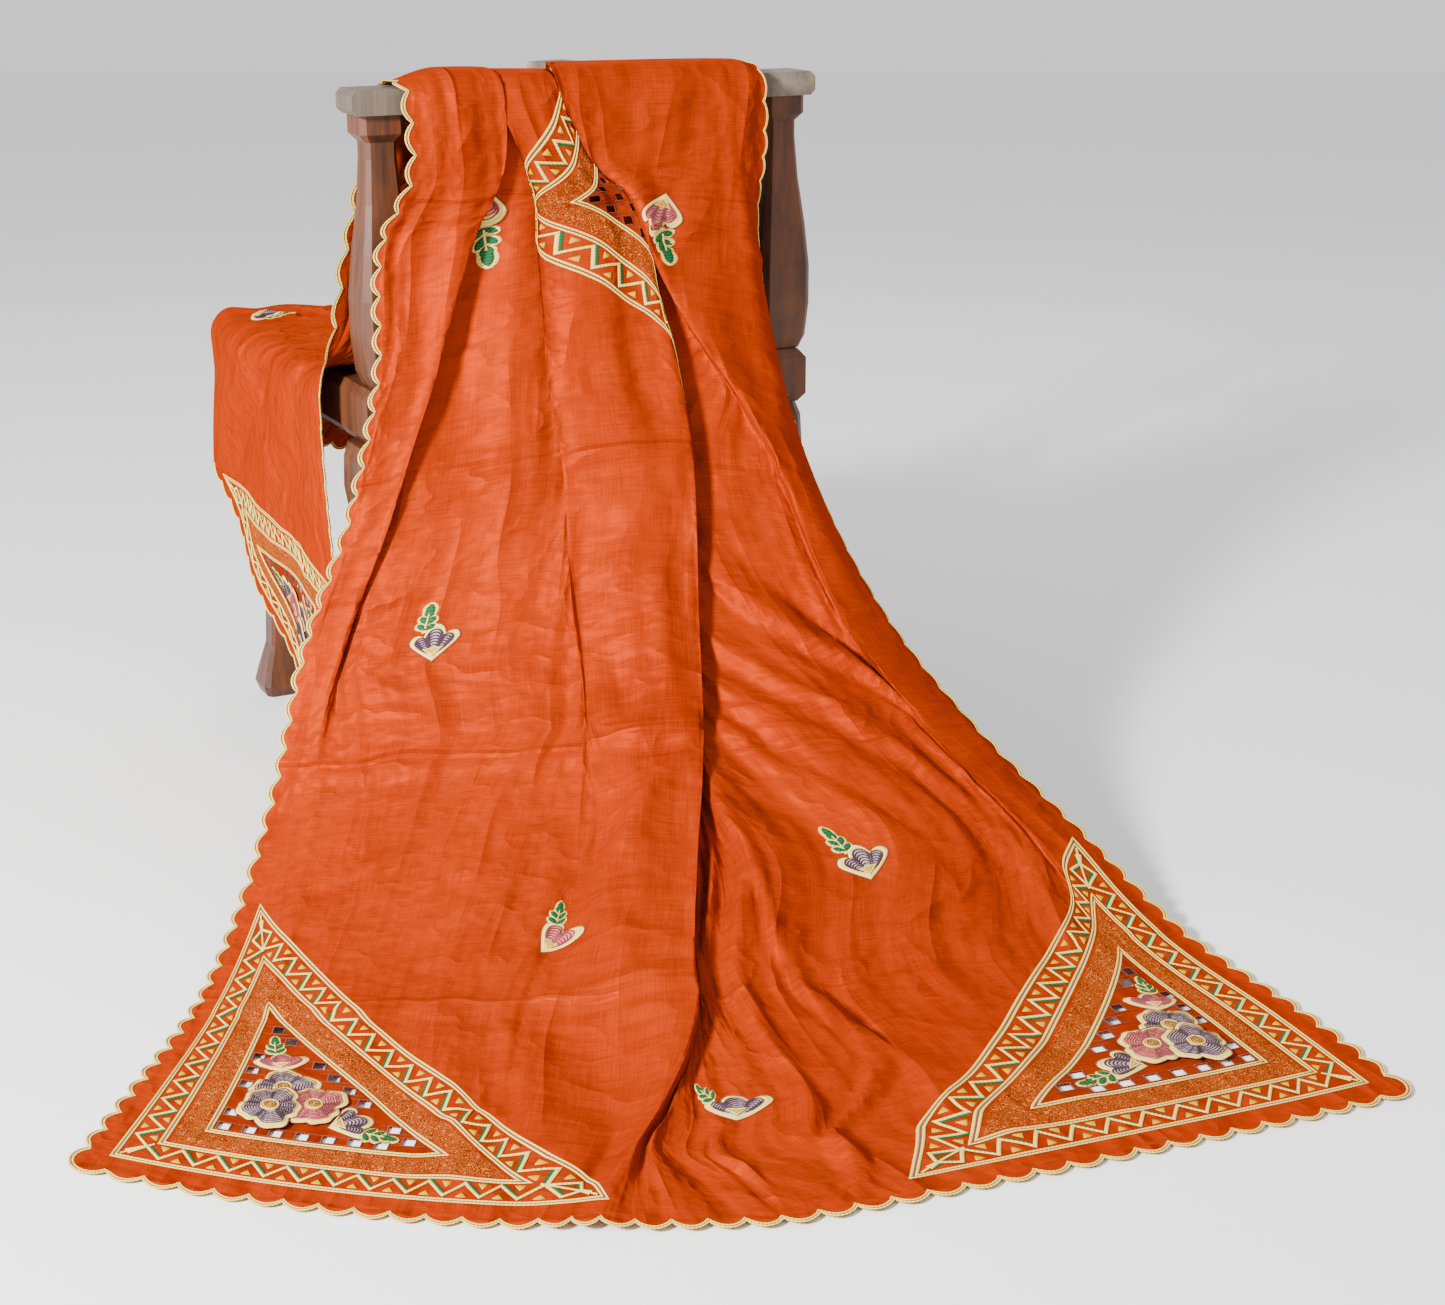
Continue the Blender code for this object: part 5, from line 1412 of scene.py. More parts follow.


# The shadow stitches are painted shadow: dark rust and green lines laid in the gaps and along the sides of
# raised cream lines, where shade falls
RIM_TOP = Stitch(Thread.CREAM, 0.068, 0.0003, 0.0006)
RIM_UNDERSIDE = Stitch(Thread.CREAM, 0.068, -0.0003, -0.0006)
RIM_SHADOW = Stitch(Thread.RUST, 0.050, 0.0004, 0.0002)
BAND_LINE = Stitch(Thread.CREAM, 0.068, 0.0004, 0.0006)
BAND_SHADOW = Stitch(Thread.RUST, 0.050, 0.0003, 0.0002)
ZIGZAG_LINE = Stitch(Thread.CREAM, 0.100, 0.0006, 0.0008)
ZIGZAG_SHADOW = Stitch(Thread.GREEN, 0.100, 0.0003, 0.0002)
MITRE_LINE = Stitch(Thread.CREAM, 0.070, 0.0006, 0.0006)
TOOTH = Fill(Thread.GOLD, 0.0005, 1, 0.0002)
CELL_EDGE = Stitch(Thread.RUST, 0.050, 0.0003, 0.0005)
CELL_BAR = Stitch(Thread.RUST, 0.035, 0.0002, 0.0003)
MOTIF_GROUND = Fill(Thread.CREAM, 0.0006, 2)
ROSE_BODY = Fill(Thread.ROSE, 0.0011, 3)
LILAC_BODY = Fill(Thread.LILAC, 0.0011, 3)
BUD_EDGE = Stitch(Thread.RUST, 0.045, 0.0002, 0.0003)
BUD_ROWS = {
    ROSE_BODY: Stitch(Thread.WINE, 0.050, 0.0017, 0.0004),
    LILAC_BODY: Stitch(Thread.PLUM, 0.050, 0.0017, 0.0004),
}
BUD_FOOT = Fill(Thread.GOLD, 0.0019, 2)
BUD_FOOT_EDGE = Stitch(Thread.CREAM, 0.055, 0.0021, 0.0005)
FLOWER_EDGE = Stitch(Thread.RUST, 0.040, 0.0002, 0.0003)
FLOWER_ROWS = {
    ROSE_BODY: Stitch(Thread.WINE, 0.032, 0.0019, 0.0004),
    LILAC_BODY: Stitch(Thread.PLUM, 0.032, 0.0019, 0.0004),
}
FLOWER_DISC = Fill(Thread.GOLD, 0.0023, 2)
FLOWER_DISC_EDGE = Stitch(Thread.CREAM, 0.050, 0.0023, 0.0006)
FLOWER_DISC_RINGS = Stitch(Thread.RUST, 0.040, 0.0030, 0.0002)
# A leaf's lines have the width one, and are scaled by the leaf's own sizes
LEAF_GROUND = Stitch(Thread.CREAM, 1.0, 0.0004, 0.0005)
LEAF_BODY = Stitch(Thread.GREEN, 1.0, 0.0012, 0.0005)
LEAF_VEIN = Stitch(Thread.CREAM, 1.0, 0.0017, 0.0003)

# How much higher each flower of a bouquet lies than the one before it
LAYER_STEP = 0.0016
# A patch rises over a narrow rim, then slowly to its middle: the rim's inner share, its height
PATCH_SHOULDER = (0.93, 0.8)
PATCH_CLEARANCE = 0.0001
# A sharp turn widens a line by this share at most
MITRE_LIMIT = 0.5


class ThreadWork:
    """Raised thread work, gathered by thread and made as one piece for each."""

    def __init__(self, sheet: SilkSheet) -> None:
        """Starts with no stitches.

        Args:
            sheet: The cloth that it lies on.
        """
        self.sheet = sheet
        self.base = 0.0
        self.parts: dict[Thread, list[StitchedPart]] = {thread: [] for thread in Thread}

    def line(self, stitch: Stitch, path: Sequence[Point], closed: bool = False, scale: object = 1.0) -> None:
        """A line of stitches: a strip with a raised middle.

        Args:
            stitch: Its thread and sizes.
            path: Its points on the flat cloth.
            closed: Whether it comes back to its start.
            scale: How many times its usual width it has, for all points or for each.
        """
        points = np.asarray(path, float)
        count = len(points)
        if closed:
            before, after = np.roll(points, 1, axis=0), np.roll(points, -1, axis=0)
        else:
            before = np.vstack((2 * points[0] - points[1], points[:-1]))
            after = np.vstack((points[1:], 2 * points[-1] - points[-2]))
        first = unit_rows(points - before)
        run = unit_rows(first + unit_rows(after - points))
        aside = np.stack((-run[:, 1], run[:, 0]), axis=1)
        mitre = 1 / np.maximum(np.abs((run * first).sum(axis=1)), MITRE_LIMIT)
        half = (np.broadcast_to(stitch.width * scale, count) / 2 * mitre)[:, None]
        flat = np.stack((points - aside * half, points, points + aside * half), axis=1).reshape(-1, 2)
        lifts = np.tile((stitch.lift, stitch.lift + stitch.crown, stitch.lift), count) + self.base
        placed = self.sheet.at(flat[:, 0], flat[:, 1], lifts)
        steps = np.linalg.norm(np.diff(points, axis=0), axis=1)
        along = np.concatenate(([0.0], np.cumsum(steps)))
        uv = np.stack((np.repeat(along, 3), np.tile((0.0, 0.5, 1.0), count)), axis=1)
        faces = []
        for k in range(count if closed else count - 1):
            a, b = 3 * k, 3 * ((k + 1) % count)
            faces += [[a, b, b + 1, a + 1], [a + 1, b + 1, b + 2, a + 2]]
        self.parts[stitch.thread].append((placed, uv, faces))

    def patch(self, fill: Fill, outline: Sequence[Point], centre: Point) -> None:
        """A filled patch: rings from its outline to its centre.

        Args:
            fill: Its thread and heights.
            outline: Its points on the flat cloth, once round.
            centre: A point inside it that sees all of the outline.
        """
        edge, middle = np.asarray(outline, float), np.asarray(centre, float)
        count = len(edge)
        inner, shoulder = PATCH_SHOULDER
        inwards = np.arange(fill.rings) / fill.rings
        shares = np.concatenate(([1.0], inner * (1 - inwards)))
        heights = np.concatenate(([0.0], shoulder + (1 - shoulder) * inwards, [1.0]))
        flat = np.vstack([middle + (edge - middle) * share for share in shares] + [middle[None, :]])
        rises = np.append(np.repeat(heights[:-1], count), heights[-1])
        lifts = rises * (fill.lift + fill.crown) + PATCH_CLEARANCE + self.base
        placed = self.sheet.at(flat[:, 0], flat[:, 1], lifts)
        reach = float(np.linalg.norm(edge - middle, axis=1).mean())
        depth = np.append(np.repeat(shares * reach, count), 0.0)
        uv = np.stack((depth, np.full(len(depth), 0.5)), axis=1)
        faces = []
        for start in range(0, fill.rings * count, count):
            for k in range(count):
                a, b = start + k, start + (k + 1) % count
                faces.append([a, b, b + count, a + count])
        last = fill.rings * count
        faces += [[last + k, last + (k + 1) % count, len(flat) - 1] for k in range(count)]
        self.parts[fill.thread].append((placed, uv, faces))

    def build(self, shelf: MaterialShelf) -> list[Piece]:
        """Makes one mesh for each thread.

        Args:
            shelf: The scene's materials.

        Returns:
            The pieces.
        """
        made = []
        for thread, parts in self.parts.items():
            start = 0
            faces: list[list[int]] = []
            for points, _, part_faces in parts:
                faces += [[index + start for index in face] for face in part_faces]
                start += len(points)
            points = np.vstack([part[0] for part in parts])
            uv = np.vstack([part[1] for part in parts])
            # The rust and green pieces also hold the painted shadow lines of the rim and the bands
            material = shelf.thread(THREADS[thread])
            made.append(finish_mesh(f"{thread.value}_stitches", points, faces, "thread", uv, material))
        return made


def sampled(corners: Sequence[Point], spacing: float, closed: bool = False) -> list[Point]:
    """Points along straight sides, with every corner kept.

    Args:
        corners: The corners in order.
        spacing: The usual distance between points.
        closed: Whether a last side leads back to the start.

    Returns:
        The points in order.
    """
    points: list[Point] = []
    count = len(corners)
    for k in range(count if closed else count - 1):
        (u0, v0), (u1, v1) = corners[k], corners[(k + 1) % count]
        parts = max(1, round(math.hypot(u1 - u0, v1 - v0) / spacing))
        points += [(u0 + (u1 - u0) * m / parts, v0 + (v1 - v0) * m / parts) for m in range(parts)]
    return points if closed else points + [corners[-1]]


@dataclass
class ScallopedRim:
    """The double corded line along the scalloped rim."""

    parts_per_scallop: int = 8
    insets: tuple[float, float] = (0.022, 0.118)

    def sew(self, work: ThreadWork) -> None:
        """Lays both lines round the whole cloth, on its two sides, and a dark rust line of painted shadow
        between them.

        Args:
            work: Where the stitches are gathered.
        """
        right, far = float(SCALLOPS_ACROSS), float(SCALLOPS_ALONG)
        corners = [(0.0, 0.0), (right, 0.0), (right, far), (0.0, far)]
        edge = sampled(corners, 1 / self.parts_per_scallop, True)
        shares = np.array([work.sheet.rim_share(u, v) for u, v in edge])

        def path(inset: float) -> list[Point]:
            """The outline, moved inwards."""
            return [work.sheet.rim_point(u, v, inset) for u, v in edge]

        for inset in self.insets:
            work.line(RIM_TOP, path(inset), True, shares)
            work.line(RIM_UNDERSIDE, path(inset), True, shares)
        # Painted shadow between the two cream lines
        work.line(RIM_SHADOW, path(sum(self.insets) / 2), True, shares)


@dataclass
class BorderBand:
    """A closed band of lines and a zigzag round a field of the cloth."""

    corners: tuple[Point, ...]
    spacing: float = 0.25

    def around(self, k: int) -> list[Array]:
        """A corner with the one before it and the one after it."""
        return [np.array(self.corners[(k + s) % len(self.corners)]) for s in (-1, 0, 1)]

    def inset(self, distance: float) -> list[Point]:
        """The band's corners, moved inwards by a distance.

        Args:
            distance: How far from the outer line, in scallops.

        Returns:
            The moved corners.
        """
        moved = []
        for k in range(len(self.corners)):
            before, here, after = self.around(k)
            ways = unit_rows(np.array((here - before, after - here)))
            normals = np.stack((-ways[:, 1], ways[:, 0]), axis=1)
            moved.append(tuple(here + np.linalg.solve(normals, np.array((distance, distance)))))
        return moved

    def mitre_slope(self, k: int) -> float:
        """How fast the room in the band grows from a corner: the tangent of half the corner.

        Args:
            k: The corner's number.

        Returns:
            The slope.
        """
        before, here, after = self.around(k)
        ways = unit_rows(np.array((before - here, after - here)))
        return math.tan(math.acos(float(ways[0] @ ways[1])) / 2)

    def double_line(self, work: ThreadWork, distance: float) -> None:
        """Two cream lines with a dark rust line of painted shadow between them.

        Args:
            work: Where the stitches are gathered.
            distance: How far from the outer line, in scallops.
        """
        for shift in (-LINE_SPACING, LINE_SPACING):
            work.line(BAND_LINE, sampled(self.inset(distance + shift), self.spacing, True), True)
        # Painted shadow between the two cream lines
        work.line(BAND_SHADOW, sampled(self.inset(distance), self.spacing, True), True)

    def zigzag(self, work: ThreadWork, k: int) -> None:
        """A zigzag along one side, from mitre to mitre, with its shadow line and gold triangles.

        Args:
            work: Where the stitches are gathered.
            k: The number of the corner where the side starts.
        """
        base = [np.array(point) for point in self.inset(ZIGZAG_FROM)]
        following = (k + 1) % len(base)
        full = ZIGZAG_TO - ZIGZAG_FROM
        start, end = base[k], base[following]
        length = float(np.linalg.norm(end - start))
        way = (end - start) / length
        inward = np.array((-way[1], way[0]))
        slopes = self.mitre_slope(k), self.mitre_slope(following)
        teeth = max(2, round(length / ZIGZAG_PITCH))
        path: list[Point] = [tuple(start + way * ZIGZAG_TIP_GAP)]
        for m in range(1, 2 * teeth):
            along = length * m / (2 * teeth)
            room = min(full, along * slopes[0], (length - along) * slopes[1])
            here = start + way * along
            path.append(tuple(here + inward * room if m % 2 else here))
            if room >= full * TOOTH_ROOM:
                foot = here if m % 2 else here + inward * full
                self.tooth_mark(work, foot, here + inward * full / 2)
        path.append(tuple(end - way * ZIGZAG_TIP_GAP))
        # Painted shadow: a green line shifted aside and along from the zigzag
        on, aside = ZIGZAG_SHADOW_SHIFT
        shift = inward * aside + way * on
        shadow = [(u + shift[0], v + shift[1]) for u, v in path]
        work.line(ZIGZAG_SHADOW, sampled(shadow, self.spacing))
        work.line(ZIGZAG_LINE, sampled(path, ZIGZAG_SPACING))

    @staticmethod
    def tooth_mark(work: ThreadWork, base: Array, tip: Array) -> None:
        """A small gold triangle that stands on a base point and looks at a tip.

        Args:
            work: Where the stitches are gathered.
            base: The middle of its foot.
            tip: The point that it looks at.
        """
        way = unit_rows(tip - base)
        height = way * TOOTH_HEIGHT
        aside = np.array((-way[1], way[0])) * TOOTH_HALF
        start = base - way * TOOTH_OVERLAP
        outline = [tuple(start + aside), tuple(start + height), tuple(start - aside)]
        work.patch(TOOTH, outline, tuple(start + way * TOOTH_CENTRE))

    def sew(self, work: ThreadWork) -> None:
        """Lays the whole band.

        Args:
            work: Where the stitches are gathered.
        """
        for distance in BAND_LINES:
            self.double_line(work, distance)
        for k in range(len(self.corners)):
            self.zigzag(work, k)
        for near, far in zip(self.inset(MITRE_FROM), self.inset(MITRE_TO)):
            work.line(MITRE_LINE, sampled([near, far], self.spacing))


@dataclass(frozen=True)
class Motif:
    """A small coordinate frame on the cloth in which a motif is drawn."""

    centre: Point
    degrees: float
    size: float
    spread: tuple[float, float] = (1.0, 1.0)

    def put(self, points: Iterable[Point]) -> list[Point]:
        """Points of the motif on the flat cloth.

        Args:
            points: Points in the motif's own directions.

        Returns:
            Points (u, v).
        """
        angle = math.radians(self.degrees)
        c, s = math.cos(angle), math.sin(angle)
        u, v = self.centre
        wide, tall = self.size / self.spread[0], self.size / self.spread[1]
        return [(u + wide * (x * c - y * s), v + tall * (x * s + y * c)) for x, y in points]


def closed_curve(points: Sequence[Point], parts: int) -> list[Point]:
    """A smooth closed curve through points.

    Args:
        points: The curve's points in order.
        parts: How many steps lead from each to the next.

    Returns:
        The curve's points.
    """
    p = np.asarray(points, float)
    curve = []
    for k in range(len(p)):
        a, b, c, d = (p[(k + s) % len(p)] for s in (-1, 0, 1, 2))
        for t in np.arange(parts) / parts:
            square, cube = 2 * a - 5 * b + 4 * c - d, 3 * b - a - 3 * c + d
            curve.append(tuple(0.5 * (2 * b + (c - a) * t + square * t**2 + cube * t**3)))
    return curve


def circle(radius: float, count: int) -> list[Point]:
    """Points round a circle."""
    return [(radius * math.cos(a), radius * math.sin(a)) for a in 2 * math.pi * np.arange(count) / count]


class BudShape(Enum):
    """Half outlines of buds, from the point at the bottom to the middle of the top."""

    TULIP = (
        (0.0, -0.82), (0.02, -0.82), (0.50, -0.44), (0.88, -0.10), (1.00, 0.14), (0.86, 0.36),
        (0.62, 0.38), (0.46, 0.30), (0.36, 0.54), (0.20, 0.72), (0.0, 0.78),
    )
    HEART = (
        (0.0, -0.95), (0.02, -0.95), (0.40, -0.55), (0.74, -0.15), (0.90, 0.22), (0.80, 0.52),
        (0.52, 0.66), (0.26, 0.60), (0.0, 0.34),
    )
    CUP = (
        (0.0, -0.68), (0.02, -0.68), (0.55, -0.46), (1.00, -0.16), (1.18, 0.10), (1.04, 0.30),
        (0.74, 0.32), (0.54, 0.24), (0.38, 0.44), (0.20, 0.58), (0.0, 0.62),
    )


@dataclass(frozen=True)
class Bud:
    """A bud seen from the side: cream edge, coloured body with wavy rows, gold foot."""

    place: Motif
    shape: BudShape
    body: Fill
    centre: Point = (0.0, -0.08)
    edge_share: float = 1.03
    body_shares: tuple[float, float] = (0.77, 0.76)
    row_shares: tuple[float, ...] = (0.96, 0.84, 0.72, 0.60, 0.48, 0.36)
    row_narrowing: float = 0.75
    rows_above_foot: float = 0.10
    foot_rise: float = 0.12
    mark_from: float = 0.06
    mark_to: float = 0.34
    mark_half: float = 0.34
    mark_centre_below: float = 0.10
    mark_spacing: float = 0.2
    curve_parts: int = 4

    def outline(self, wide: float, tall: float) -> list[Point]:
        """The bud's outline at shares of its width and height.

        Args:
            wide: The share of its width.
            tall: The share of its height.

        Returns:
            Its points.
        """
        half = self.shape.value
        other_half = [(-x, y) for x, y in reversed(half[1:-1])]
        whole = closed_curve(list(half) + other_half, self.curve_parts)
        middle = self.centre[1]
        return [(x * wide, (y - middle) * tall + middle) for x, y in whole]

    def sew(self, work: ThreadWork) -> None:
        """Stitches the bud.

        Args:
            work: Where the stitches are gathered.
        """
        put = self.place.put
        centre = put([self.centre])[0]
        work.patch(MOTIF_GROUND, put(self.outline(1.0, 1.0)), centre)
        work.line(BUD_EDGE, put(self.outline(self.edge_share, self.edge_share)), True)
        inner = self.outline(*self.body_shares)
        work.patch(self.body, put(inner), centre)
        bottom = inner[0][1]
        foot = bottom + self.foot_rise
        upper = [(x, y) for x, y in inner if y > foot + self.rows_above_foot]
        for share in self.row_shares:
            narrow = 1 - self.row_narrowing + self.row_narrowing * share
            row = [(x * narrow, (y - foot) * share + foot) for x, y in upper]
            work.line(BUD_ROWS[self.body], put(row))
        high = bottom + self.mark_to
        mark = [(-self.mark_half, high), (self.mark_half, high), (0.0, bottom + self.mark_from)]
        work.patch(BUD_FOOT, put(mark), put([(0.0, high - self.mark_centre_below)])[0])
        work.line(BUD_FOOT_EDGE, put(sampled(mark, self.mark_spacing, True)), True)


@dataclass(frozen=True)
class Flower:
    """An open flower: cream edge, petals with wavy rows, gold middle."""

    place: Motif
    petals: int
    body: Fill
    depth: float = 0.24
    unevenness: tuple[Vector, ...] = ((2, 0.7, 0.07), (3, 1.9, 0.05), (11, 0.0, 0.03))
    row_shares: tuple[float, ...] = (0.82, 0.74, 0.66, 0.58, 0.50, 0.42, 0.34)
    row_wave: float = 0.014
    edge_share: float = 1.02
    body_share: float = 0.84
    disc: float = 0.25
    disc_points: int = 24
    disc_rings: tuple[float, float] = (0.07, 0.15)
    disc_ring_points: int = 10
    ring_points: int = 80
    lobe_lean: float = 0.25
    lobe_roundness: float = 0.6
    waves_per_petal: int = 4

    def ring(self, share: float, wave: float = 0.0) -> list[Point]:
        """A lobed ring at a share of the flower's size, with small waves if asked for.

        Args:
            share: The share of its size.
            wave: The height of the small waves.

        Returns:
            Its points.
        """
        points = []
        for angle in 2 * math.pi * np.arange(self.ring_points) / self.ring_points:
            lean = self.lobe_lean * math.sin(angle)
            lobe = abs(math.cos(self.petals * angle / 2 + lean)) ** self.lobe_roundness
            uneven = sum(size * math.sin(turns * angle + start) for turns, start, size in self.unevenness)
            radius = share * (1 - self.depth * (1 - lobe)) * (1 + uneven)
            radius += wave * math.sin(self.petals * self.waves_per_petal * angle)
            points.append((radius * math.cos(angle), radius * math.sin(angle)))
        return points

    def sew(self, work: ThreadWork) -> None:
        """Stitches the flower.

        Args:
            work: Where the stitches are gathered.
        """
        put, centre = self.place.put, self.place.centre
        work.patch(MOTIF_GROUND, put(self.ring(1.0)), centre)
        work.line(FLOWER_EDGE, put(self.ring(self.edge_share)), True)
        work.patch(self.body, put(self.ring(self.body_share)), centre)
        for share in self.row_shares:
            work.line(FLOWER_ROWS[self.body], put(self.ring(share, self.row_wave)), True)
        disc = put(circle(self.disc, self.disc_points))
        work.patch(FLOWER_DISC, disc, centre)
        work.line(FLOWER_DISC_EDGE, disc, True)
        for radius in self.disc_rings:
            work.line(FLOWER_DISC_RINGS, put(circle(radius, self.disc_ring_points)), True)


@dataclass(frozen=True)
class Leaf:
    """A leaf of green leaflets with cream edges, which grows from its frame's origin along +Y."""

    place: Motif
    # Stem and vein start at a place along the leaf and have a length.
    # Leaflets: place along the stem, side, length, angle from the stem in degrees, width
    leaflets: tuple[tuple[float, ...], ...] = (
        (0.00, -1, 0.44, 56, 0.27), (0.00, 1, 0.44, 56, 0.27), (0.24, -1, 0.44, 44, 0.28),
        (0.24, 1, 0.44, 44, 0.28), (0.50, -1, 0.30, 30, 0.22), (0.50, 1, 0.30, 30, 0.22),
        (0.50, 0, 0.58, 0, 0.36),
    )
    points: int = 9
    edge: float = 0.05
    body_length: float = 0.90
    body_width: float = 0.66
    stem_width: float = 0.14
    stem: tuple[float, float] = (-0.12, 0.92)
    stem_points: int = 8
    vein_width: float = 0.045
    vein: tuple[float, float] = (0.05, 0.57)
    vein_points: int = 6
    # A leaflet's width follows part of a sine wave: the part, its lean to the tip, its fullness
    ends: tuple[float, float] = (0.06, 0.985)
    lean: float = 1.2
    fullness: float = 0.6

    def along(self, start: float, angle: float, length: float, points: int) -> list[Point]:
        """Points on a straight line from a place on the stem.

        Args:
            start: The place on the stem.
            angle: The line's angle from the stem, in radians.
            length: Its length.
            points: How many points it has.

        Returns:
            The points on the flat cloth.
        """
        reach = np.linspace(0, length, points)
        return self.place.put([(math.sin(angle) * r, start + math.cos(angle) * r) for r in reach])

    def sew(self, work: ThreadWork) -> None:
        """Stitches the leaf.

        Args:
            work: Where the stitches are gathered.
        """
        shape = np.sin(math.pi * np.linspace(*self.ends, self.points) ** self.lean) ** self.fullness
        size = self.place.size
        for start, side, length, degrees, width in self.leaflets:
            path = self.along(start, side * math.radians(degrees), length, self.points)
            work.line(LEAF_GROUND, path, scale=size * (self.edge + width * shape))
        stem = self.along(self.stem[0], 0.0, self.stem[1], self.stem_points)
        work.line(LEAF_GROUND, stem, scale=size * self.stem_width)
        for start, side, length, degrees, width in self.leaflets:
            path = self.along(start, side * math.radians(degrees), length * self.body_length, self.points)
            work.line(LEAF_BODY, path, scale=size * self.body_width * width * shape)
        vein = self.along(self.vein[0], 0.0, self.vein[1], self.vein_points)
        work.line(LEAF_VEIN, vein, scale=size * self.vein_width)


# Scattered motifs: u, v, turn of the bud in degrees, shape, body, leaf's place from the bud
# (aside, along), leaf's turn in degrees, size
SCATTERED = (
    (4.9, 39.9, 184, BudShape.HEART, ROSE_BODY, (-0.3, 0.7), 194, 1.08),
    (35.3, 39.8, 172, BudShape.TULIP, ROSE_BODY, (-0.45, 0.55), 204, 1.08),
    (5.5, 24.5, 8, BudShape.TULIP, LILAC_BODY, (-0.45, 0.60), 0, 0.84),
    (11.5, 13.0, -28, BudShape.HEART, ROSE_BODY, (-0.62, 0.50), 6, 0.84),
    (28.7, 15.2, 10, BudShape.TULIP, LILAC_BODY, (-0.40, 0.62), 12, 0.90),
    (21.4, 5.3, -4, BudShape.CUP, LILAC_BODY, (-0.80, 0.40), 40, 0.88),
    (33.5, 55.5, 188, BudShape.TULIP, LILAC_BODY, (-0.45, 0.60), 180, 0.84),
    (5.5, 55.5, 176, BudShape.HEART, ROSE_BODY, (0.45, 0.60), 180, 0.84),
    (28.7, 64.8, 172, BudShape.HEART, ROSE_BODY, (-0.62, 0.50), 202, 0.84),
    (20.0, 71.2, 188, BudShape.CUP, LILAC_BODY, (0.70, 0.40), 214, 0.84),
)
SCATTERED_LEAF_SHARE = 1.08

# A corner's bouquet, in scallops from the cloth's corner along its hem and its side. Flowers: place,
# size, petals, body, turn in degrees. Buds: place, size, turn, shape, body. Leaves: place, size, turn
BOUQUET_FLOWERS = (
    (4.45, 5.60, 1.05, 4, LILAC_BODY, 20), (5.58, 4.82, 0.98, 4, ROSE_BODY, 40),
    (4.36, 4.42, 1.04, 5, LILAC_BODY, 70),
)
BOUQUET_BUDS = (
    (6.84, 4.22, 0.82, -62, BudShape.TULIP, LILAC_BODY), (4.05, 7.00, 0.74, 14, BudShape.CUP, ROSE_BODY),
)
BOUQUET_LEAVES = ((7.32, 3.78, 1.00, -101), (3.78, 7.42, 0.90, 16))
# The same from the middle of the diamond
DIAMOND_FLOWERS = (
    (0.0, -1.25, 1.00, 5, LILAC_BODY, 0), (-1.3, 0.1, 0.95, 4, ROSE_BODY, 30),
    (1.3, 0.2, 0.95, 5, LILAC_BODY, 60), (0.0, 1.3, 1.00, 4, ROSE_BODY, 20),
)
DIAMOND_LEAVES = (
    (-2.1, 0.0, 1.00, 90), (2.1, 0.0, 1.00, -90), (0.0, 2.2, 1.00, 0), (0.0, -2.2, 1.00, 180),
)


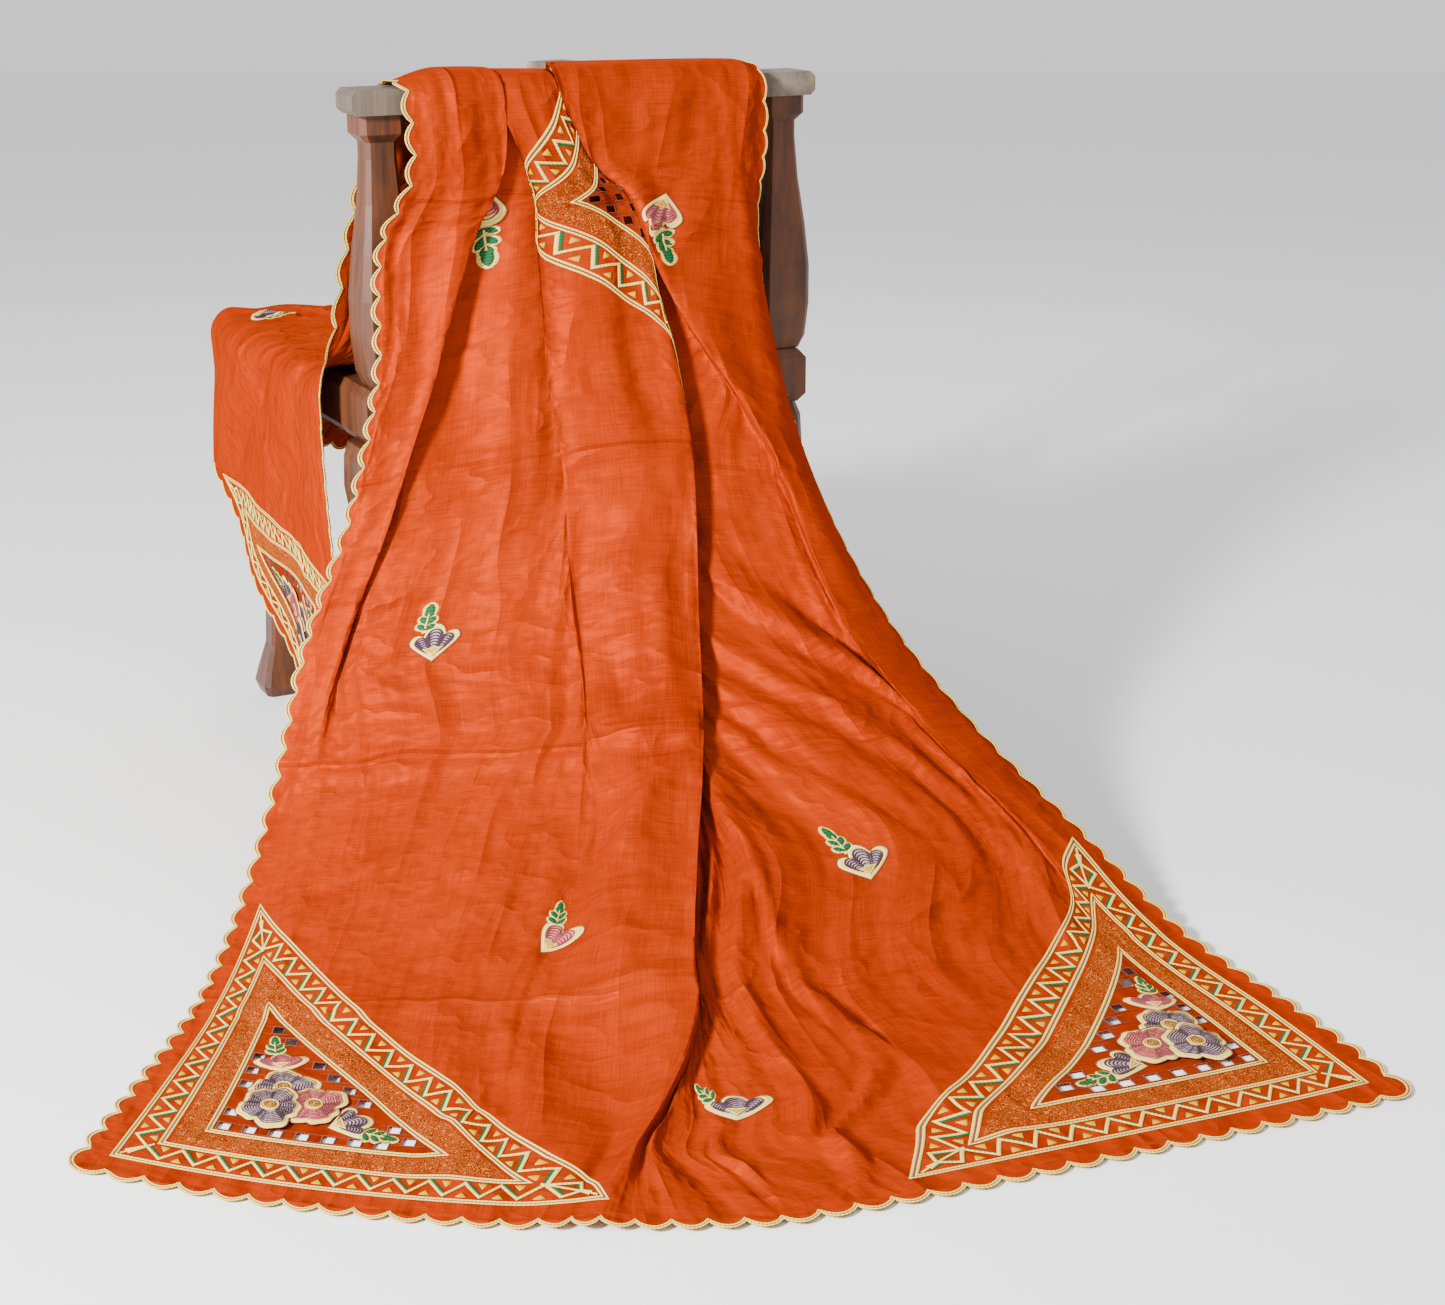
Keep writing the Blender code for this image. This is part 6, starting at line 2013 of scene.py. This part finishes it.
@dataclass
class Embroidery:
    """All raised thread work of the cloth."""

    sheet: SilkSheet

    @staticmethod
    def sew_flowers(work: ThreadWork, rows: Iterable[tuple], put: Callable[[float, float], Point]) -> None:
        """Flowers in layers, each over the one before it.

        Args:
            work: The thread work.
            rows: The flowers' rows.
            put: The map from their own directions to the flat cloth.
        """
        for layer, (x, y, size, petals, body, degrees) in enumerate(rows):
            work.base = layer * LAYER_STEP
            Flower(Motif(put(x, y), degrees, size), petals, body).sew(work)
        work.base = 0.0

    def sew_corner(self, work: ThreadWork, right: bool, far: bool) -> None:
        """A corner's band and bouquet.

        Args:
            work: The thread work.
            right: Whether it is a right corner.
            far: Whether it is a far corner.
        """
        def put(x: float, y: float) -> Point:
            """A point of the flat cloth, from the corner's own directions."""
            return SCALLOPS_ACROSS - x if right else x, SCALLOPS_ALONG - y if far else y

        def turned(degrees: float) -> float:
            """A motif's turn in this corner."""
            angle = -degrees if right else degrees
            return 180 - angle if far else angle

        end = BAND_OUTER + CORNER_LEG
        corners = [put(BAND_OUTER, BAND_OUTER), put(end, BAND_OUTER), put(BAND_OUTER, end)]
        if right != far:
            corners[1:] = corners[:0:-1]
        BorderBand(tuple(corners)).sew(work)
        self.sew_flowers(work, BOUQUET_FLOWERS, put)
        for x, y, size, degrees, shape, body in BOUQUET_BUDS:
            Bud(Motif(put(x, y), turned(degrees), size), shape, body).sew(work)
        for x, y, size, degrees in BOUQUET_LEAVES:
            Leaf(Motif(put(x, y), turned(degrees), size)).sew(work)

    def sew_diamond(self, work: ThreadWork) -> None:
        """The middle diamond's band and flowers.

        Args:
            work: Where the stitches are gathered.
        """
        def put(x: float, y: float) -> Point:
            """A point of the flat cloth, from the diamond's middle."""
            return SCALLOPS_ACROSS / 2 + x, SCALLOPS_ALONG / 2 + y

        tips = ((0, -DIAMOND_HALF), (DIAMOND_HALF, 0), (0, DIAMOND_HALF), (-DIAMOND_HALF, 0))
        BorderBand(tuple(put(*tip) for tip in tips)).sew(work)
        self.sew_flowers(work, DIAMOND_FLOWERS, put)
        for x, y, size, degrees in DIAMOND_LEAVES:
            Leaf(Motif(put(x, y), degrees, size)).sew(work)

    def sew_scattered(self, work: ThreadWork) -> None:
        """The scattered buds, each with a leaf.

        Args:
            work: Where the stitches are gathered.
        """
        for u, v, degrees, shape, body, leaf_from_bud, leaf_degrees, size in SCATTERED:
            spread = self.sheet.spread_at((u, v))
            place = Motif((u, v), degrees, size, spread)
            leaf_foot = place.put([leaf_from_bud])[0]
            Leaf(Motif(leaf_foot, leaf_degrees, SCATTERED_LEAF_SHARE * size, spread)).sew(work)
            Bud(place, shape, body).sew(work)

    def sew_cells(self, work: ThreadWork) -> None:
        """A rust line round each cut cell, and short ones that lead its bars on.

        Args:
            work: Where the stitches are gathered.
        """
        reach = CUT_HALF + CUT_EDGE
        for u, v in self.sheet.cells:
            square = [(u + x * reach, v + y * reach) for x, y in ((-1, -1), (1, -1), (1, 1), (-1, 1))]
            work.line(CELL_EDGE, square, True)
            for side in (-reach, reach):
                for end in (-1, 1):
                    bar = [(u + end * reach, v + side), (u + end * (reach + BAR_LENGTH), v + side)]
                    work.line(CELL_BAR, sampled(bar, BAR_SPACING))

    def build(self, shelf: MaterialShelf) -> list[Piece]:
        """Sews everything and makes the pieces.

        Args:
            shelf: The scene's materials.

        Returns:
            The thread pieces.
        """
        work = ThreadWork(self.sheet)
        ScallopedRim().sew(work)
        for right in (False, True):
            for far in (False, True):
                self.sew_corner(work, right, far)
        self.sew_diamond(work)
        self.sew_scattered(work)
        self.sew_cells(work)
        return work.build(shelf)


@dataclass(frozen=True)
class CornerChair:
    """The wooden chair under the cloth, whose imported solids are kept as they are."""

    stain: Finish = Finish(
        "dark stained wood", (0.120, 0.034, 0.010), (0.022, 0.009, 0.005), 0.45,
        worn=(0.17, 0.060, 0.024), grain=1.0)
    weathered: Finish = Finish(
        "weathered rail wood", (0.130, 0.098, 0.070), (0.045, 0.032, 0.022), 0.62,
        worn=(0.30, 0.25, 0.20), grain=0.8)

    def dress(self, shelf: MaterialShelf) -> None:
        """Gives each wooden node its grained finish.

        Args:
            shelf: The scene's materials.
        """
        stain = shelf.wood(self.stain)
        rail = shelf.wood(self.weathered)
        for name in CHAIR_NODES:
            for slot in bpy.data.objects[name].material_slots:
                slot.material = rail if name.endswith("_rail") else stain


@dataclass(frozen=True)
class Lamp:
    """A square soft light that looks at a point."""

    name: str
    place: Vector
    aim: Vector
    size: float
    watts: float

    def build(self) -> None:
        """Hangs the light."""
        light = bpy.data.lights.new(self.name, "AREA")
        light.size = self.size
        light.energy = self.watts
        lamp = add_to_scene(self.name, light)
        lamp.location = self.place
        way = np.array(self.aim) - np.array(self.place)
        tilt = math.atan2(math.hypot(way[0], way[1]), -way[2])
        lamp.rotation_euler = (tilt, 0.0, math.atan2(way[1], way[0]) - math.pi / 2)


@dataclass(frozen=True)
class Studio:
    """A pale floor, soft light and the camera."""

    floor_half: float = 7.0
    floor_place: Vector = (0.0, 2.0, -0.0004)
    floor_grey: float = 0.86
    floor_roughness: float = 0.9
    lamps: tuple[Lamp, ...] = (
        Lamp("key", (-1.95, -2.35, 1.75), (0.0, -0.1, 0.25), 0.5, 400),
        Lamp("fill", (2.2, -2.0, 1.8), (0.1, 0.0, 0.2), 2.2, 12),
        Lamp("rim", (0.3, 2.4, 2.4), (0.0, 0.2, 0.5), 1.6, 18),
    )
    camera_place: Vector = (0.0180, -2.0714, 0.903)
    pitch_degrees: float = 18.58
    pixels_per_tangent: float = 2343.0
    photo_width: float = 1445.0
    sensor: float = 36.0

    def add_floor(self) -> None:
        """The plain floor."""
        half = self.floor_half
        corners = [(-half, -half, 0), (half, -half, 0), (half, half, 0), (-half, half, 0)]
        mesh = bpy.data.meshes.new("studio_floor")
        mesh.from_pydata(corners, [], [(0, 1, 2, 3)])
        floor = add_to_scene("studio_floor", mesh)
        floor.location = self.floor_place
        material, _, shader = new_material("pale floor")
        shader.inputs["Base Color"].default_value = (*[self.floor_grey] * 3, 1)
        shader.inputs["Roughness"].default_value = self.floor_roughness
        mesh.materials.append(material)

    def add_camera(self) -> None:
        """The camera at the photograph's viewing angle."""
        data = bpy.data.cameras.new("photo_camera")
        data.sensor_fit = "HORIZONTAL"
        data.sensor_width = self.sensor
        data.lens = self.pixels_per_tangent / self.photo_width * self.sensor
        camera = add_to_scene("photo_camera", data)
        camera.location = self.camera_place
        camera.rotation_euler = (math.radians(90 - self.pitch_degrees), 0.0, 0.0)
        bpy.context.scene.camera = camera

    def build(self) -> None:
        """Sets the stage, the lights and the camera."""
        self.add_floor()
        world = bpy.data.worlds.new("studio")
        world.use_nodes = True
        background = world.node_tree.nodes["Background"]
        background.inputs["Color"].default_value = (1, 1, 1, 1)
        background.inputs["Strength"].default_value = 1.0
        bpy.context.scene.world = world
        for lamp in self.lamps:
            lamp.build()
        self.add_camera()


def main() -> None:
    """Builds the cloth, its thread work, the chair's finishes and the studio."""
    logging.basicConfig(level=logging.INFO)
    shelf = MaterialShelf()
    sheet = SilkSheet(Drape())
    cloth = sheet.build(shelf)
    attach(cloth, "root")
    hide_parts(*CLOTH_NODES)
    LOG.info("cloth: %d faces", len(cloth.data.polygons))
    pieces = Embroidery(sheet).build(shelf)
    for piece in pieces:
        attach(piece, "root")
        LOG.info("%s: %d faces", piece.name, len(piece.data.polygons))
    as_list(pieces)
    CornerChair().dress(shelf)
    Studio().build()


if __name__ == "__main__":
    main()
